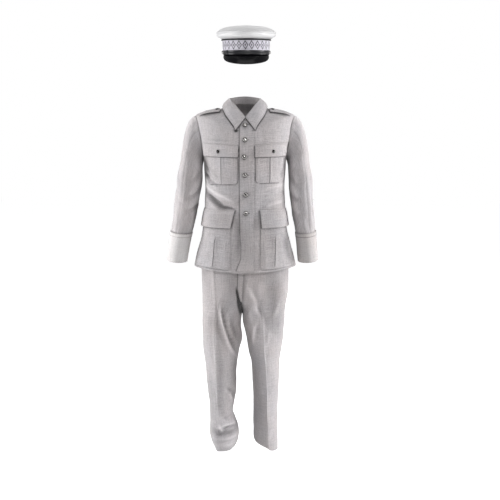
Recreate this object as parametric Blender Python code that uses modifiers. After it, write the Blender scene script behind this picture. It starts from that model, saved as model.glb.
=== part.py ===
import math

import bpy
import numpy as np
from mathutils import Matrix

# Prison guard uniform as worn: tunic, trousers and peaked cap, all hollow cloth.
# Heights in the tables are measured up from the sole of the wearer's shoe, in metres.
# Turn is the angle round the body: 0 at the wearer's left side, 90 at the centre front, -90 at the back.

originHeight = 1.55
seamGap = 0.00018
layerGap = 0.0004
pocketGap = 0.0008
tunicWall = 0.0018
pocketWall = 0.0013
bandWall = 0.0010
collarWall = 0.0016
trouserWall = 0.0015
capWall = 0.0018
sideSeamTurn = -8.0
armholeFront = 18.0
armholeBack = 18.0
armholeMiddle = 12.0
armholeReach = 2.0
neckLevel = 18.0
overlapEnd = 0.033
bandInset = 0.0008
bandInner = 0.040
collarMeet = 0.0025


def table(names, rows):
    return {name: np.array([row[k] for row in rows], float) for k, name in enumerate(names.split())}


# Tunic: side, front and back height of a level, then its half width, depths and squareness
torso = table("level side front back half frontDepth backDepth square", [
    (0, 0.880, 0.865, 0.870, 0.2270, 0.150, 0.144, 2.30),
    (1, 0.920, 0.917, 0.920, 0.2170, 0.147, 0.138, 2.30),
    (2, 0.970, 0.970, 0.970, 0.2020, 0.142, 0.130, 2.30),
    (3, 1.020, 1.020, 1.020, 0.1875, 0.136, 0.123, 2.30),
    (4, 1.070, 1.070, 1.070, 0.1805, 0.131, 0.118, 2.30),
    (5, 1.120, 1.120, 1.120, 0.1775, 0.128, 0.113, 2.30),
    (6, 1.170, 1.170, 1.170, 0.1745, 0.126, 0.109, 2.30),
    (7, 1.210, 1.210, 1.210, 0.1730, 0.128, 0.108, 2.30),
    (8, 1.260, 1.260, 1.260, 0.1750, 0.135, 0.112, 2.30),
    (9, 1.310, 1.308, 1.312, 0.1770, 0.141, 0.118, 2.30),
    (10, 1.352, 1.348, 1.356, 0.1800, 0.143, 0.123, 2.30),
    (11, 1.392, 1.383, 1.402, 0.1880, 0.142, 0.127, 2.30),
    (12, 1.432, 1.415, 1.450, 0.1970, 0.138, 0.127, 2.25),
    (13, 1.484, 1.442, 1.500, 0.2070, 0.131, 0.122, 2.20),
    (14, 1.529, 1.464, 1.537, 0.2130, 0.123, 0.111, 2.10),
    (15, 1.543, 1.476, 1.552, 0.1780, 0.116, 0.100, 2.05),
    (16, 1.551, 1.487, 1.562, 0.1430, 0.110, 0.088, 2.00),
    (17, 1.559, 1.497, 1.571, 0.1070, 0.104, 0.077, 2.00),
    (18, 1.569, 1.505, 1.578, 0.0740, 0.098, 0.067, 2.00),
])

# Large soft folds of the tunic: where (turn, level), reach each way, height out of the cloth, slant
tunicFolds = table("turn level spanTurn spanLevel height slant", [
    (142, 5.85, 15, 0.42, -0.0055, 0.030),
    (141, 6.55, 17, 0.45, 0.0035, 0.030),
    (30, 6.40, 16, 0.45, -0.0030, -0.010),
    (-60, 6.40, 22, 0.40, -0.0040, 0.012),
    (-120, 6.10, 20, 0.50, -0.0045, -0.016),
    (-150, 9.50, 12, 1.20, -0.0040, 0.030),
    (-30, 9.30, 12, 1.30, -0.0040, -0.030),
])

# Sleeves: height of a ring's middle, its place, half width, half depth
sleeveRows = {
    "right": table("height x y half depth", [
        (1.310, -0.2350, 0.004, 0.0510, 0.0690),
        (1.255, -0.2425, 0.008, 0.0555, 0.0680),
        (1.200, -0.2500, 0.010, 0.0545, 0.0650),
        (1.145, -0.2605, 0.009, 0.0525, 0.0620),
        (1.100, -0.2660, 0.006, 0.0515, 0.0600),
        (1.055, -0.2740, 0.000, 0.0490, 0.0580),
        (1.010, -0.2840, -0.008, 0.0450, 0.0550),
        (0.965, -0.2915, -0.018, 0.0425, 0.0530),
        (0.900, -0.3000, -0.033, 0.0405, 0.0510),
    ]),
    "left": table("height x y half depth", [
        (1.310, 0.2370, 0.004, 0.0480, 0.0690),
        (1.255, 0.2430, 0.008, 0.0510, 0.0680),
        (1.200, 0.2460, 0.010, 0.0520, 0.0650),
        (1.145, 0.2530, 0.009, 0.0495, 0.0620),
        (1.100, 0.2580, 0.006, 0.0480, 0.0600),
        (1.055, 0.2640, 0.000, 0.0450, 0.0580),
        (1.010, 0.2690, -0.008, 0.0425, 0.0550),
        (0.965, 0.2730, -0.018, 0.0400, 0.0530),
        (0.900, 0.2775, -0.033, 0.0385, 0.0510),
    ]),
}

# Trousers above the fork
pelvis = table("height half front back middle", [
    (1.022, 0.1790, 0.1255, 0.1125, 0.000),
    (0.970, 0.1850, 0.1255, 0.1200, -0.002),
    (0.920, 0.1900, 0.1250, 0.1290, -0.004),
    (0.870, 0.1940, 0.1230, 0.1350, -0.006),
    (0.820, 0.1945, 0.1190, 0.1340, -0.009),
    (0.770, 0.1935, 0.1130, 0.1270, -0.012),
    (0.720, 0.1920, 0.1070, 0.1180, -0.014),
    (0.655, 0.1910, 0.1020, 0.1100, -0.014),
])

# Trouser legs: height, middle, half width, depth to the front and back crease, turn of the foot,
# sharpness of the crease, and how much the ring rises at its inner side and in front
legRows = {
    "right": table("height x y half front back turn crease lift pitch", [
        (0.770, -0.1000, -0.006, 0.0930, 0.108, 0.118, 0, 1.05, 0, 0),
        (0.655, -0.1030, -0.008, 0.0890, 0.104, 0.108, 0, 1.10, 0, 0),
        (0.620, -0.1060, -0.010, 0.0870, 0.101, 0.103, 0, 1.15, 0, 0),
        (0.580, -0.1070, -0.014, 0.0850, 0.098, 0.098, 0, 1.20, 0, 0),
        (0.540, -0.1055, -0.020, 0.0850, 0.095, 0.094, 0, 1.25, 0, 0),
        (0.490, -0.1075, -0.028, 0.0800, 0.093, 0.090, 0, 1.35, 0, 0),
        (0.450, -0.1075, -0.036, 0.0735, 0.091, 0.088, 0, 1.40, 0, 0),
        (0.400, -0.1075, -0.046, 0.0685, 0.090, 0.086, 0, 1.45, 0, 0),
        (0.357, -0.1055, -0.054, 0.0665, 0.089, 0.085, 0, 1.45, 0, 0),
        (0.312, -0.1040, -0.062, 0.0635, 0.088, 0.084, 0, 1.45, 0, 0),
        (0.267, -0.1045, -0.070, 0.0560, 0.087, 0.084, 0, 1.45, 0, 0),
        (0.221, -0.1070, -0.076, 0.0520, 0.088, 0.085, 0, 1.35, 0, 0),
        (0.190, -0.1010, -0.080, 0.0570, 0.090, 0.087, 0, 1.25, 0, 0),
        (0.155, -0.0955, -0.083, 0.0635, 0.093, 0.088, 0, 1.20, 0, 0),
        (0.125, -0.0930, -0.086, 0.0665, 0.095, 0.089, 0, 1.15, 0, 0),
        (0.100, -0.0920, -0.088, 0.0620, 0.092, 0.090, 0, 1.20, 0, 0),
        (0.075, -0.0910, -0.090, 0.0520, 0.079, 0.092, 0, 1.15, 0, 0.004),
        (0.048, -0.0950, -0.092, 0.0385, 0.064, 0.094, 0, 1.10, 0.004, 0.010),
    ]),
    "left": table("height x y half front back turn crease lift pitch", [
        (0.770, 0.0800, -0.006, 0.0960, 0.108, 0.118, 0, 1.05, 0, 0),
        (0.655, 0.0830, -0.006, 0.0950, 0.104, 0.108, 0, 1.10, 0, 0),
        (0.620, 0.0835, -0.007, 0.0935, 0.101, 0.103, 0, 1.15, 0, 0),
        (0.580, 0.0860, -0.008, 0.0870, 0.098, 0.098, 0, 1.20, 0, 0),
        (0.535, 0.0890, -0.010, 0.0810, 0.095, 0.094, 0, 1.25, 0, 0),
        (0.485, 0.0890, -0.012, 0.0735, 0.093, 0.090, 1, 1.35, 0, 0),
        (0.440, 0.0915, -0.015, 0.0645, 0.091, 0.088, 2, 1.40, 0, 0),
        (0.392, 0.0935, -0.018, 0.0620, 0.090, 0.086, 3, 1.45, 0, 0),
        (0.346, 0.0935, -0.021, 0.0600, 0.089, 0.085, 4, 1.50, 0, 0),
        (0.300, 0.0940, -0.024, 0.0575, 0.088, 0.084, 5, 1.50, 0, 0),
        (0.252, 0.0925, -0.027, 0.0550, 0.087, 0.084, 6, 1.50, 0, 0),
        (0.205, 0.0920, -0.030, 0.0545, 0.087, 0.084, 7, 1.50, 0, 0),
        (0.157, 0.0920, -0.033, 0.0545, 0.088, 0.085, 8, 1.50, 0, 0),
        (0.110, 0.0920, -0.036, 0.0545, 0.089, 0.086, 9, 1.50, 0.004, 0),
        (0.080, 0.0930, -0.038, 0.0545, 0.090, 0.086, 10, 1.50, 0.010, 0),
        (0.055, 0.0940, -0.040, 0.0540, 0.090, 0.086, 10, 1.50, 0.024, 0.002),
        (0.034, 0.0950, -0.042, 0.0530, 0.090, 0.086, 10, 1.50, 0.036, 0.005),
    ]),
}

# Large folds of the trousers, by leg: ring angle is 0 at the outer seam, 90 at the front crease, 180 at
# the inner seam, and below 0 behind
trouserFolds = {
    "right": table("angle height spanAngle spanHeight rise slant", [
        (125, 0.585, 16, 0.070, 0.0055, -0.00080),
        (100, 0.575, 12, 0.080, -0.0035, -0.00080),
        (172, 0.560, 22, 0.038, 0.0090, 0.0),
        (110, 0.112, 55, 0.013, -0.0060, 0.0),
        (100, 0.148, 60, 0.016, 0.0040, 0.0),
        (-100, 0.130, 60, 0.018, -0.0060, 0.0),
        (-95, 0.430, 55, 0.030, -0.0050, 0.0003),
        (-110, 0.700, 45, 0.022, -0.0045, 0.0006),
    ]),
    "left": table("angle height spanAngle spanHeight rise slant", [
        (125, 0.690, 14, 0.060, 0.0045, -0.00150),
        (105, 0.660, 10, 0.060, -0.0035, -0.00150),
        (60, 0.590, 22, 0.022, -0.0040, 0.0008),
        (-95, 0.440, 55, 0.028, -0.0050, -0.0003),
        (-110, 0.690, 45, 0.024, -0.0045, -0.0006),
        (-95, 0.120, 60, 0.020, -0.0050, 0.0),
    ]),
}

# Collar: the fold ring's turn, then the turn and level of the body point under the fall's edge,
# and how far the edge stands off there
collarEdge = table("fold turn level stand", [
    (90, 71.5, 13.55, 0.0085),
    (75, 64.0, 15.00, 0.0075),
    (55, 51.0, 16.25, 0.0065),
    (30, 30.0, 17.10, 0.0060),
    (0, 0.0, 17.35, 0.0055),
    (-45, -47.0, 17.00, 0.0050),
    (-90, -90.0, 16.70, 0.0050),
])

# Ring of the collar's fold: half width, depths, heights at side, front and back
foldHalf = 0.0685
foldFront = 0.092
foldBack = 0.064
foldSideHeight = 1.601
foldFrontHeight = 1.520
foldBackHeight = 1.612

# Cap, measured from the band's lower edge before it is tipped forward
capMiddle = (0.0060, -0.010, 1.797)
capTip = math.radians(5.0)
capRings = table("height half front back", [
    (-0.016, 0.0965, 0.1160, 0.1160),
    (0.000, 0.0975, 0.1170, 0.1170),
    (0.048, 0.0995, 0.1185, 0.1185),
    (0.054, 0.1110, 0.1295, 0.1275),
    (0.061, 0.1220, 0.1405, 0.1380),
    (0.067, 0.1255, 0.1440, 0.1410),
    (0.0765, 0.1240, 0.1425, 0.1395),
])
capRoof = table("height half front back", [
    (0.0770, 0.1238, 0.1423, 0.1393),
    (0.0840, 0.1175, 0.1360, 0.1330),
    (0.0905, 0.1075, 0.1255, 0.1225),
    (0.0980, 0.0870, 0.1030, 0.1000),
    (0.1035, 0.0450, 0.0540, 0.0520),
])

buttonRows = table("x height radius rise", [
    (0.0010, 1.4880, 0.0100, 0.0055),
    (0.0010, 1.4280, 0.0105, 0.0055),
    (-0.0020, 1.3580, 0.0105, 0.0055),
    (0.0010, 1.2830, 0.0105, 0.0055),
    (0.0045, 1.1990, 0.0105, 0.0055),
    (0.0045, 1.1200, 0.0105, 0.0055),
])


def follow(knots, values, at):
    # a smooth curve through the table's rows that never overshoots them
    step = np.diff(knots)
    slope = np.diff(values) / step
    tangent = np.zeros(len(knots))
    rising = slope[1:] * slope[:-1] > 0
    tangent[1:-1][rising] = 2 * slope[1:][rising] * slope[:-1][rising] / (slope[1:] + slope[:-1])[rising]
    tangent[0] = slope[0]
    tangent[-1] = slope[-1]
    at = np.clip(at, knots[0], knots[-1])
    k = np.clip(np.searchsorted(knots, at, side="right") - 1, 0, len(step) - 1)
    t = (at - knots[k]) / step[k]
    near = (1 + 2 * t) * (1 - t) ** 2 * values[k] + t * (1 - t) ** 2 * step[k] * tangent[k]
    far = t * t * (3 - 2 * t) * values[k + 1] + t * t * (t - 1) * step[k] * tangent[k + 1]
    return near + far


def along(rows, key, at):
    # a table whose key falls down its rows is read from the bottom up
    order = np.argsort(rows[key])
    return {name: follow(rows[key][order], rows[name][order], at) for name in rows}


def soft(value, low, high):
    t = np.clip((value - low) / (high - low), 0, 1)
    return t * t * (3 - 2 * t)


def place(x, y, height):
    return np.stack(np.broadcast_arrays(x, y, height - originHeight), -1)


def torsoPoint(turn, level, out=0.0):
    # a squarish oval at each level, its height blending from side to front or back, plus the soft folds
    turn, level = np.broadcast_arrays(np.asarray(turn, float), np.asarray(level, float))
    row = along(torso, "level", level)
    c = np.cos(np.radians(turn))
    s = np.sin(np.radians(turn))
    depth = np.where(s > 0, row["frontDepth"], row["backDepth"])
    power = row["square"]
    radius = ((abs(c) / row["half"]) ** power + (abs(s) / depth) ** power) ** (-1 / power)
    for k in range(len(tunicFolds["turn"])):
        away = (turn - tunicFolds["turn"][k] + 180) % 360 - 180
        up = level - tunicFolds["level"][k] - away * tunicFolds["slant"][k]
        fall = (away / tunicFolds["spanTurn"][k]) ** 2 + (up / tunicFolds["spanLevel"][k]) ** 2
        radius = radius + tunicFolds["height"][k] * np.exp(-fall)
    end = np.where(s > 0, row["front"], row["back"])
    points = place(radius * c, -radius * s, row["side"] + (end - row["side"]) * s * s)
    if np.ndim(out) == 0 and out == 0:
        return points
    return points + torsoNormal(turn, level) * np.asarray(out)[..., None]


def normals(surface, a, b, stepA, stepB):
    # the outward unit normal from two short differences on the surface
    across = surface(a + stepA, b) - surface(a - stepA, b)
    up = surface(a, b + stepB) - surface(a, b - stepB)
    normal = np.cross(up, across)
    return normal / np.maximum(np.linalg.norm(normal, axis=-1, keepdims=True), 1e-9)


def torsoNormal(turn, level):
    return normals(torsoPoint, turn, level, 0.4, 0.02)


def turnAtX(x, level):
    # the turn near the centre front at which a level passes a given x
    depth = along(torso, "level", level)["frontDepth"]
    return 90 - np.degrees(np.arctan2(x, depth))


def armholeTurn(level, side):
    # the armhole is an oval in turn and level: front edge or back edge of it
    swing = np.clip((level - armholeMiddle) / armholeReach, -1, 1)
    middle = sideSeamTurn * (1 - swing) / 2
    reach = np.sqrt(1 - swing ** 2)
    if side == "front":
        return middle + armholeFront * reach
    return middle - armholeBack * reach


def levelAt(height, turn=90.0):
    # the level whose height at this turn is the one asked for
    levels = np.linspace(0, neckLevel, 721)
    heights = torsoPoint(turn, levels)[:, 2] + originHeight
    return np.interp(height, heights, levels)


def arcTurn(level, arc):
    # the turn reached after walking an arc length from the centre front towards the wearer's left
    turns = np.linspace(90, -40, 261)
    walk = torsoPoint(turns, level)
    length = np.concatenate([[0], np.cumsum(np.linalg.norm(np.diff(walk, axis=0), axis=1))])
    return np.interp(arc, length, turns)


def arcAtX(level, x):
    turns = np.linspace(90, -10, 401)
    walk = torsoPoint(turns, level)
    length = np.concatenate([[0], np.cumsum(np.linalg.norm(np.diff(walk, axis=0), axis=1))])
    return np.interp(x, walk[:, 0], length)


bpy.context.scene.unit_settings.system = "METRIC"
for item in list(bpy.data.objects):
    bpy.data.objects.remove(item, do_unlink=True)
uniform = bpy.data.collections.new("prison_guard_uniform")
bpy.context.scene.collection.children.link(uniform)


def material(name, colour, roughness, metallic=0.0):
    made = bpy.data.materials.new(name)
    made.use_nodes = True
    shader = made.node_tree.nodes["Principled BSDF"]
    shader.inputs["Base Color"].default_value = (*colour, 1)
    shader.inputs["Roughness"].default_value = roughness
    shader.inputs["Metallic"].default_value = metallic
    return made


looks = {
    "cloth": ((0.47, 0.44, 0.42), 0.9, 0.0),
    "crown": ((0.80, 0.80, 0.80), 0.6, 0.0),
    "ribbon": ((0.50, 0.48, 0.55), 0.6, 0.0),
    "black": ((0.01, 0.01, 0.012), 0.2, 0.0),
    "metal": ((0.55, 0.54, 0.52), 0.3, 1.0),
    "horn": ((0.02, 0.02, 0.02), 0.3, 0.0),
}


def finish(name, mesh, look):
    made = bpy.data.objects.new(name, mesh)
    uniform.objects.link(made)
    mesh.materials.append(material(name + "_look", *looks[look]))
    mesh.polygons.foreach_set("use_smooth", [True] * len(mesh.polygons))
    return made


def gridFaces(rows, columns, closed):
    r, c = np.meshgrid(np.arange(rows - 1), np.arange(columns if closed else columns - 1), indexing="ij")
    nextC = (c + 1) % columns
    quads = [r * columns + c, r * columns + nextC, (r + 1) * columns + nextC, (r + 1) * columns + c]
    return np.stack(quads, -1).reshape(-1, 4)


def sheet(name, points, wall, look="cloth", closed=False, flip=False):
    # a cloth panel: a grid of points on its outer face, thickened inwards
    rows, columns = points.shape[:2]
    faces = gridFaces(rows, columns, closed)
    if flip:
        faces = faces[:, ::-1]
    mesh = bpy.data.meshes.new(name)
    mesh.from_pydata(points.reshape(-1, 3).tolist(), [], faces.tolist())
    made = finish(name, mesh, look)
    thicken = made.modifiers.new("wall", "SOLIDIFY")
    thicken.thickness = wall
    thicken.offset = -1
    return made


def grid(rowValues, columnValues):
    return np.meshgrid(np.asarray(rowValues, float), np.asarray(columnValues, float), indexing="ij")


# Rows of the tunic: close together at the armpit, the shoulder point and the hem
bodyRows = [0, 0.5, 1.2, 2, 3, 4, 5, 5.5, 6, 6.6, 7.4, 8.2, 9.1]
armRowAngles = np.arange(8, -1, -1) * 22.5
bodyRows = bodyRows + list(armholeMiddle + armholeReach * np.cos(np.radians(armRowAngles))) + [15, 16.4, 18]

# How far the left front rises over the right one
frontRise = tunicWall + layerGap


def overlapEdge(level):
    # the free edge of the left front, a little open at the hem
    return -0.0215 + 0.005 * soft(level, 4, 1.8) - 0.020 * soft(level, 1.4, 0)


def leftOut(turn, level):
    x = torsoPoint(turn, level)[..., 0]
    return frontRise * (1 - soft(x, 0.045, 0.080))


def panelEdge(level, side):
    # outer edge of a front or back panel: side seam, armhole, then shoulder seam
    shoulder = np.zeros_like(level)
    seam = np.full_like(level, sideSeamTurn)
    inArm = (level >= armholeMiddle - armholeReach) & (level <= armholeMiddle + armholeReach)
    edge = np.where(level < armholeMiddle, seam, shoulder)
    edge = np.where(inArm, armholeTurn(level, side), edge)
    radius = np.linalg.norm(torsoPoint(edge, level)[..., :2], axis=-1)
    return edge + (1 if side == "front" else -1) * np.degrees(seamGap / radius)


frontColumns = [0, 0.06, 0.13, 0.20, 0.28, 0.40, 0.54, 0.68, 0.81, 0.91, 0.97, 1]
backColumns = [0, 0.02, 0.07, 0.13, 0.20, 0.27, 0.34, 0.42, 0.5, 0.58, 0.66, 0.73, 0.80, 0.87, 0.93, 0.98, 1]


def buildTunicBody():
    level, u = grid(bodyRows, frontColumns)
    start = turnAtX(overlapEdge(level), level)
    turn = start + (panelEdge(level, "front") - start) * u
    sheet("tunic_front_left", torsoPoint(turn, level, leftOut(turn, level)), tunicWall)
    start = turnAtX(-overlapEnd, level)
    mirrored = start + (panelEdge(level, "front") - start) * u
    sheet("tunic_front_right", torsoPoint(180 - mirrored, level), tunicWall, flip=True)
    level, u = grid(bodyRows, backColumns)
    edge = panelEdge(level, "back")
    turn = edge + (-180 - edge - edge) * u
    sheet("tunic_back", torsoPoint(turn, level), tunicWall)


def buildBand():
    level, across = grid([0.05] + bodyRows[1:-1] + [neckLevel - 0.2], [0, 0.2, 0.4, 0.6, 0.8, 1])
    low = overlapEdge(level) + bandInset
    x = low + (bandInner - low) * across
    turn = turnAtX(x, level)
    sheet("front_band", torsoPoint(turn, level, frontRise + layerGap + bandWall), bandWall)


# A sleeve is a top part and an under part; its head runs from the armhole to the first ring of the arm
sleeveSeams = (67.5, 225.0)
sleeveSeamGap = 0.3
headRows = [0, 0.12, 0.28, 0.46, 0.65, 0.83, 1]
headStand = 0.0006
headTop = 1.310
armRows = [1.255, 1.2, 1.145, 1.1, 1.040, 0.975, 0.905]
cuffRows = [1.026, 0.965, 0.903]
cuffOut = 0.0035
cuffFlare = 0.001
ringLean = 0.10
forearmLean = 0.06


def sleeveRing(side, height, angle, out=0.0):
    # angle 0 outer, 90 front, 180 inner, 270 back; the lower rings lean with the forearm
    row = along(sleeveRows[side], "height", height)
    sign = 1 if side == "left" else -1
    c = np.cos(np.radians(angle))
    s = np.sin(np.radians(angle))
    x = row["x"] + sign * (row["half"] + out) * c
    y = row["y"] - (row["depth"] + out) * s
    rise = forearmLean * soft(height, 1.30, 1.10) * row["depth"] * s - ringLean * row["half"] * c
    return place(x, y, height - rise)


def armholeLoop(side, angle):
    # the armhole as a closed loop, 0 at the shoulder point, 90 in front
    c = np.cos(np.radians(angle))
    s = np.sin(np.radians(angle))
    level = armholeMiddle + armholeReach * c
    turn = sideSeamTurn * (1 - c) / 2 + np.where(s > 0, armholeFront, armholeBack) * s
    sign = 1 if side == "left" else -1
    shown = turn if side == "left" else 180 - turn
    points = torsoPoint(shown, level)
    high = (1 + c) / 2
    lead = np.stack([sign * (0.42 + 0.58 * high), np.zeros_like(c), -1.0 + 0.78 * high], -1)
    lead /= np.linalg.norm(lead, axis=-1, keepdims=True)
    return points, lead


def sleeveGrid(side, angle):
    # rows of the sleeve head are a smooth blend from the armhole to the first ring of the arm
    loop, lead = armholeLoop(side, angle)
    first = sleeveRing(side, np.full_like(angle, headTop), angle)
    second = sleeveRing(side, np.full_like(angle, headTop - 0.01), angle)
    down = (second - first) / np.linalg.norm(second - first, axis=-1, keepdims=True)
    loop = loop + lead * headStand
    chord = np.linalg.norm(first - loop, axis=-1, keepdims=True)
    rows = []
    for t in headRows:
        start = (1 + 2 * t) * (1 - t) ** 2 * loop + t * (1 - t) ** 2 * chord * 1.05 * lead
        end = t * t * (3 - 2 * t) * first + t * t * (t - 1) * chord * down
        rows.append(start + end)
    for height in armRows:
        rows.append(sleeveRing(side, np.full_like(angle, height), angle))
    return np.array(rows)


def buildSleeve(side):
    gap = sleeveSeamGap
    top = np.linspace(sleeveSeams[1] - 360, sleeveSeams[0], 10)
    under = np.linspace(sleeveSeams[0], sleeveSeams[1], 8)
    top = np.concatenate([top[:1] + [gap, 5], top[1:-1], top[-1:] - [5, gap]])
    under = np.concatenate([under[:1] + [gap, 5], under[1:-1], under[-1:] - [5, gap]])
    sheet("sleeve_top_" + side, sleeveGrid(side, top), tunicWall, flip=side == "right")
    sheet("sleeve_under_" + side, sleeveGrid(side, under), tunicWall, flip=side == "right")
    height, angle = grid(cuffRows, np.arange(16) * 22.5)
    flare = cuffOut + cuffFlare * soft(height, 1.0, cuffRows[-1])
    cuff = sleeveRing(side, height, angle, flare)
    sheet("cuff_" + side, cuff, tunicWall, closed=True, flip=side == "right")


# Collar: neck ring, fold ring and outer edge, walked from the left front round the back
collarTurns = [90, 77, 62, 45, 24, 0, -28, -60, -90, -120, -152, -180, -204, -225, -242, -257, -270]
collarEnd = 0.0006
neckStand = 0.0014
fallBow = 0.0060


def foldRing(turn):
    c = np.cos(np.radians(turn))
    s = np.sin(np.radians(turn))
    depth = np.where(s > 0, foldFront, foldBack)
    end = np.where(s > 0, foldFrontHeight, foldBackHeight)
    share = np.where(s > 0, 1 - abs(c), s * s)
    return place(foldHalf * c, -depth * s, foldSideHeight + (end - foldSideHeight) * share)


def collarTurn():
    # the two ends stop just short of the middle
    turns = np.array(collarTurns, float)
    turns[0] -= np.degrees(collarEnd / foldFront)
    turns[-1] += np.degrees(collarEnd / foldFront)
    return turns


def fallEdge(turn):
    # mirrored to the wearer's right past the centre back
    rightSide = turn < -90
    own = np.where(rightSide, -180 - turn, turn)
    order = np.argsort(collarEdge["fold"])
    edge = {name: follow(collarEdge["fold"][order], collarEdge[name][order], own) for name in collarEdge}
    bodyTurn = np.where(rightSide, 180 - edge["turn"], edge["turn"])
    return torsoPoint(bodyTurn, edge["level"], edge["stand"])


def buildCollar():
    turn = collarTurn()
    neck = torsoPoint(turn, np.full_like(turn, neckLevel))
    fold = foldRing(turn)
    rise = fold - neck
    rise /= np.linalg.norm(rise, axis=1, keepdims=True)
    shift = np.array([collarMeet, 0, 0]) * soft(abs(turn + 90), 90, 180)[:, None]
    neck = neck + rise * (neckStand + leftOut(turn, neckLevel))[:, None]
    stand = np.array([neck + (fold - neck) * v for v in (0, 0.5, 1)]) + shift
    sheet("collar_stand", stand, collarWall)
    outward = np.stack([np.cos(np.radians(turn)), -np.sin(np.radians(turn)), np.zeros_like(turn)], -1)
    edge = fallEdge(turn)
    lip = layerGap + collarWall + 0.0002
    run = np.gradient(fold, axis=0)
    above = np.cross(outward, run)
    above /= np.linalg.norm(above, axis=1, keepdims=True)
    above *= np.sign(above[:, 2:])
    top = fold + above * lip - outward * collarWall
    crown = fold + above * lip + outward * collarWall / 2
    roll = fold + outward * (lip + collarWall / 2) - above * collarWall / 2
    rows = [edge]
    for v in (0.33, 0.66, 0.9):
        rows.append(edge + (roll - edge) * v + outward * fallBow * math.sin(math.pi * v))
    rows += [roll, crown, top]
    sheet("collar_fall", np.array(rows) + shift, collarWall)


# Pockets: outline in arc length from the centre front and height, for each side
breastPockets = {
    "left": {"inner": 0.046, "outer": 0.167, "bottom": 1.252, "flapInner": 0.043, "flapOuter": 0.204},
    "right": {"inner": 0.030, "outer": 0.170, "bottom": 1.246, "flapInner": 0.028, "flapOuter": 0.200},
}
lowerPockets = {
    "left": {"inner": 0.068, "outer": 0.246, "flapInner": 0.064, "flapLow": 0.070, "flapOuter": 0.250},
    "right": {"inner": 0.062, "outer": 0.244, "flapInner": 0.042, "flapLow": 0.060, "flapOuter": 0.250},
}
pleatColumns = [0, 0.18, 0.36, 0.47, 0.5, 0.53, 0.64, 0.82, 1]
pleatRise = [0, 0, 0.0003, 0.0016, 0.0003, 0.0016, 0.0003, 0, 0]


def patch(name, side, heights, arcs, out, wall, look="cloth"):
    # a piece laid on the body: rows of one height, points at arc lengths from the centre front
    rows = []
    for height, arc, lift in zip(heights, arcs, out):
        level = levelAt(height, 60.0)
        turn = arcTurn(level, arc)
        shown = turn if side == "left" else 180 - turn
        rows.append(torsoPoint(shown, np.full_like(shown, level), lift))
    return sheet(name, np.array(rows), wall, look, flip=side == "right")


def overlapLift(side, arc):
    # pieces near the middle of the left front ride on its raised edge
    if side == "right":
        return np.zeros_like(arc)
    return frontRise * (1 - soft(arc, 0.060, 0.105))


def buildBreastPocket(side):
    size = breastPockets[side]
    columns = np.array(pleatColumns)
    heights = [size["bottom"] - 0.003, size["bottom"] + 0.006, 1.290, 1.325, 1.355, 1.380]
    rounding = [0.012, 0, 0, 0, 0, 0]
    arcs = []
    out = []
    for inset in rounding:
        arc = size["inner"] + inset + (size["outer"] - size["inner"] - 2 * inset) * columns
        arcs.append(arc)
        out.append(overlapLift(side, arc) + pocketGap + pocketWall + np.array(pleatRise))
    patch("breast_pocket_" + side, side, heights, arcs, out, pocketWall)
    columns = np.linspace(0, 1, 8)
    heights = [1.3575, 1.373, 1.388, 1.398, 1.4075]
    flapLift = [0.0066, 0.0062, 0.0056, 0.0036, 0.0021]
    arcs = []
    out = []
    for lift in flapLift:
        arc = size["flapInner"] + (size["flapOuter"] - size["flapInner"]) * columns
        arcs.append(arc)
        out.append(overlapLift(side, arc) + lift)
    patch("breast_flap_" + side, side, heights, arcs, out, pocketWall)


def buildLowerPocket(side):
    size = lowerPockets[side]
    columns = np.array(pleatColumns)
    heights = [0.8800, 0.8880, 0.930, 0.975, 1.020, 1.060, 1.100]
    rounding = [0.010, 0, 0, 0, 0, 0, 0]
    sag = [0.0030, 0.0040, 0.0050, 0.0045, 0.0030, 0.0010, 0]
    arcs = []
    out = []
    for inset, bulge in zip(rounding, sag):
        arc = size["inner"] + inset + (size["outer"] - size["inner"] - 2 * inset) * columns
        arcs.append(arc)
        edge = soft(columns, 0, 0.12) * soft(1 - columns, 0, 0.12)
        out.append(overlapLift(side, arc) + pocketGap + pocketWall + 2 * np.array(pleatRise) + bulge * edge)
    patch("lower_pocket_" + side, side, heights, arcs, out, pocketWall)
    columns = np.linspace(0, 1, 9)
    heights = [1.056, 1.075, 1.095, 1.111, 1.122, 1.133]
    flapLift = [0.0130, 0.0116, 0.0096, 0.0078, 0.0046, 0.0022]
    arcs = []
    out = []
    for height, lift in zip(heights, flapLift):
        share = (height - heights[0]) / (heights[-1] - heights[0])
        start = size["flapLow"] + (size["flapInner"] - size["flapLow"]) * share
        arc = start + (size["flapOuter"] - start) * columns
        arcs.append(arc)
        out.append(overlapLift(side, arc) + lift)
    patch("lower_flap_" + side, side, heights, arcs, out, pocketWall)


def shoulderTop(side, x, y):
    # height of the shoulder above a place seen from above, found on the shoulder levels
    levels = np.linspace(14, neckLevel, 81)
    turn = np.degrees(np.arctan2(-y, abs(x)))
    heights = []
    for k in range(len(x)):
        walk = torsoPoint(turn[k], levels)
        inner = np.linalg.norm(walk[:, :2], axis=-1)[::-1]
        heights.append(np.interp(math.hypot(x[k], y[k]), inner, walk[::-1, 2]))
    return np.array(heights) + originHeight


# Epaulettes: distance out, half width, place forward, blunting of the tip, height over the shoulder
epauletteRows = table("reach half y point stand", [
    (0.2105, 0.0270, -0.012, 0.0000, -0.0004),
    (0.1880, 0.0264, -0.019, 0.0000, 0.0028),
    (0.1640, 0.0258, -0.026, 0.0000, 0.0055),
    (0.1400, 0.0252, -0.031, 0.0000, 0.0055),
    (0.1200, 0.0245, -0.034, 0.0010, 0.0055),
    (0.1090, 0.0225, -0.036, 0.0060, 0.0050),
])
epauletteSeam = 0.0025
epauletteButton = (0.1185, -0.033)


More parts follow.
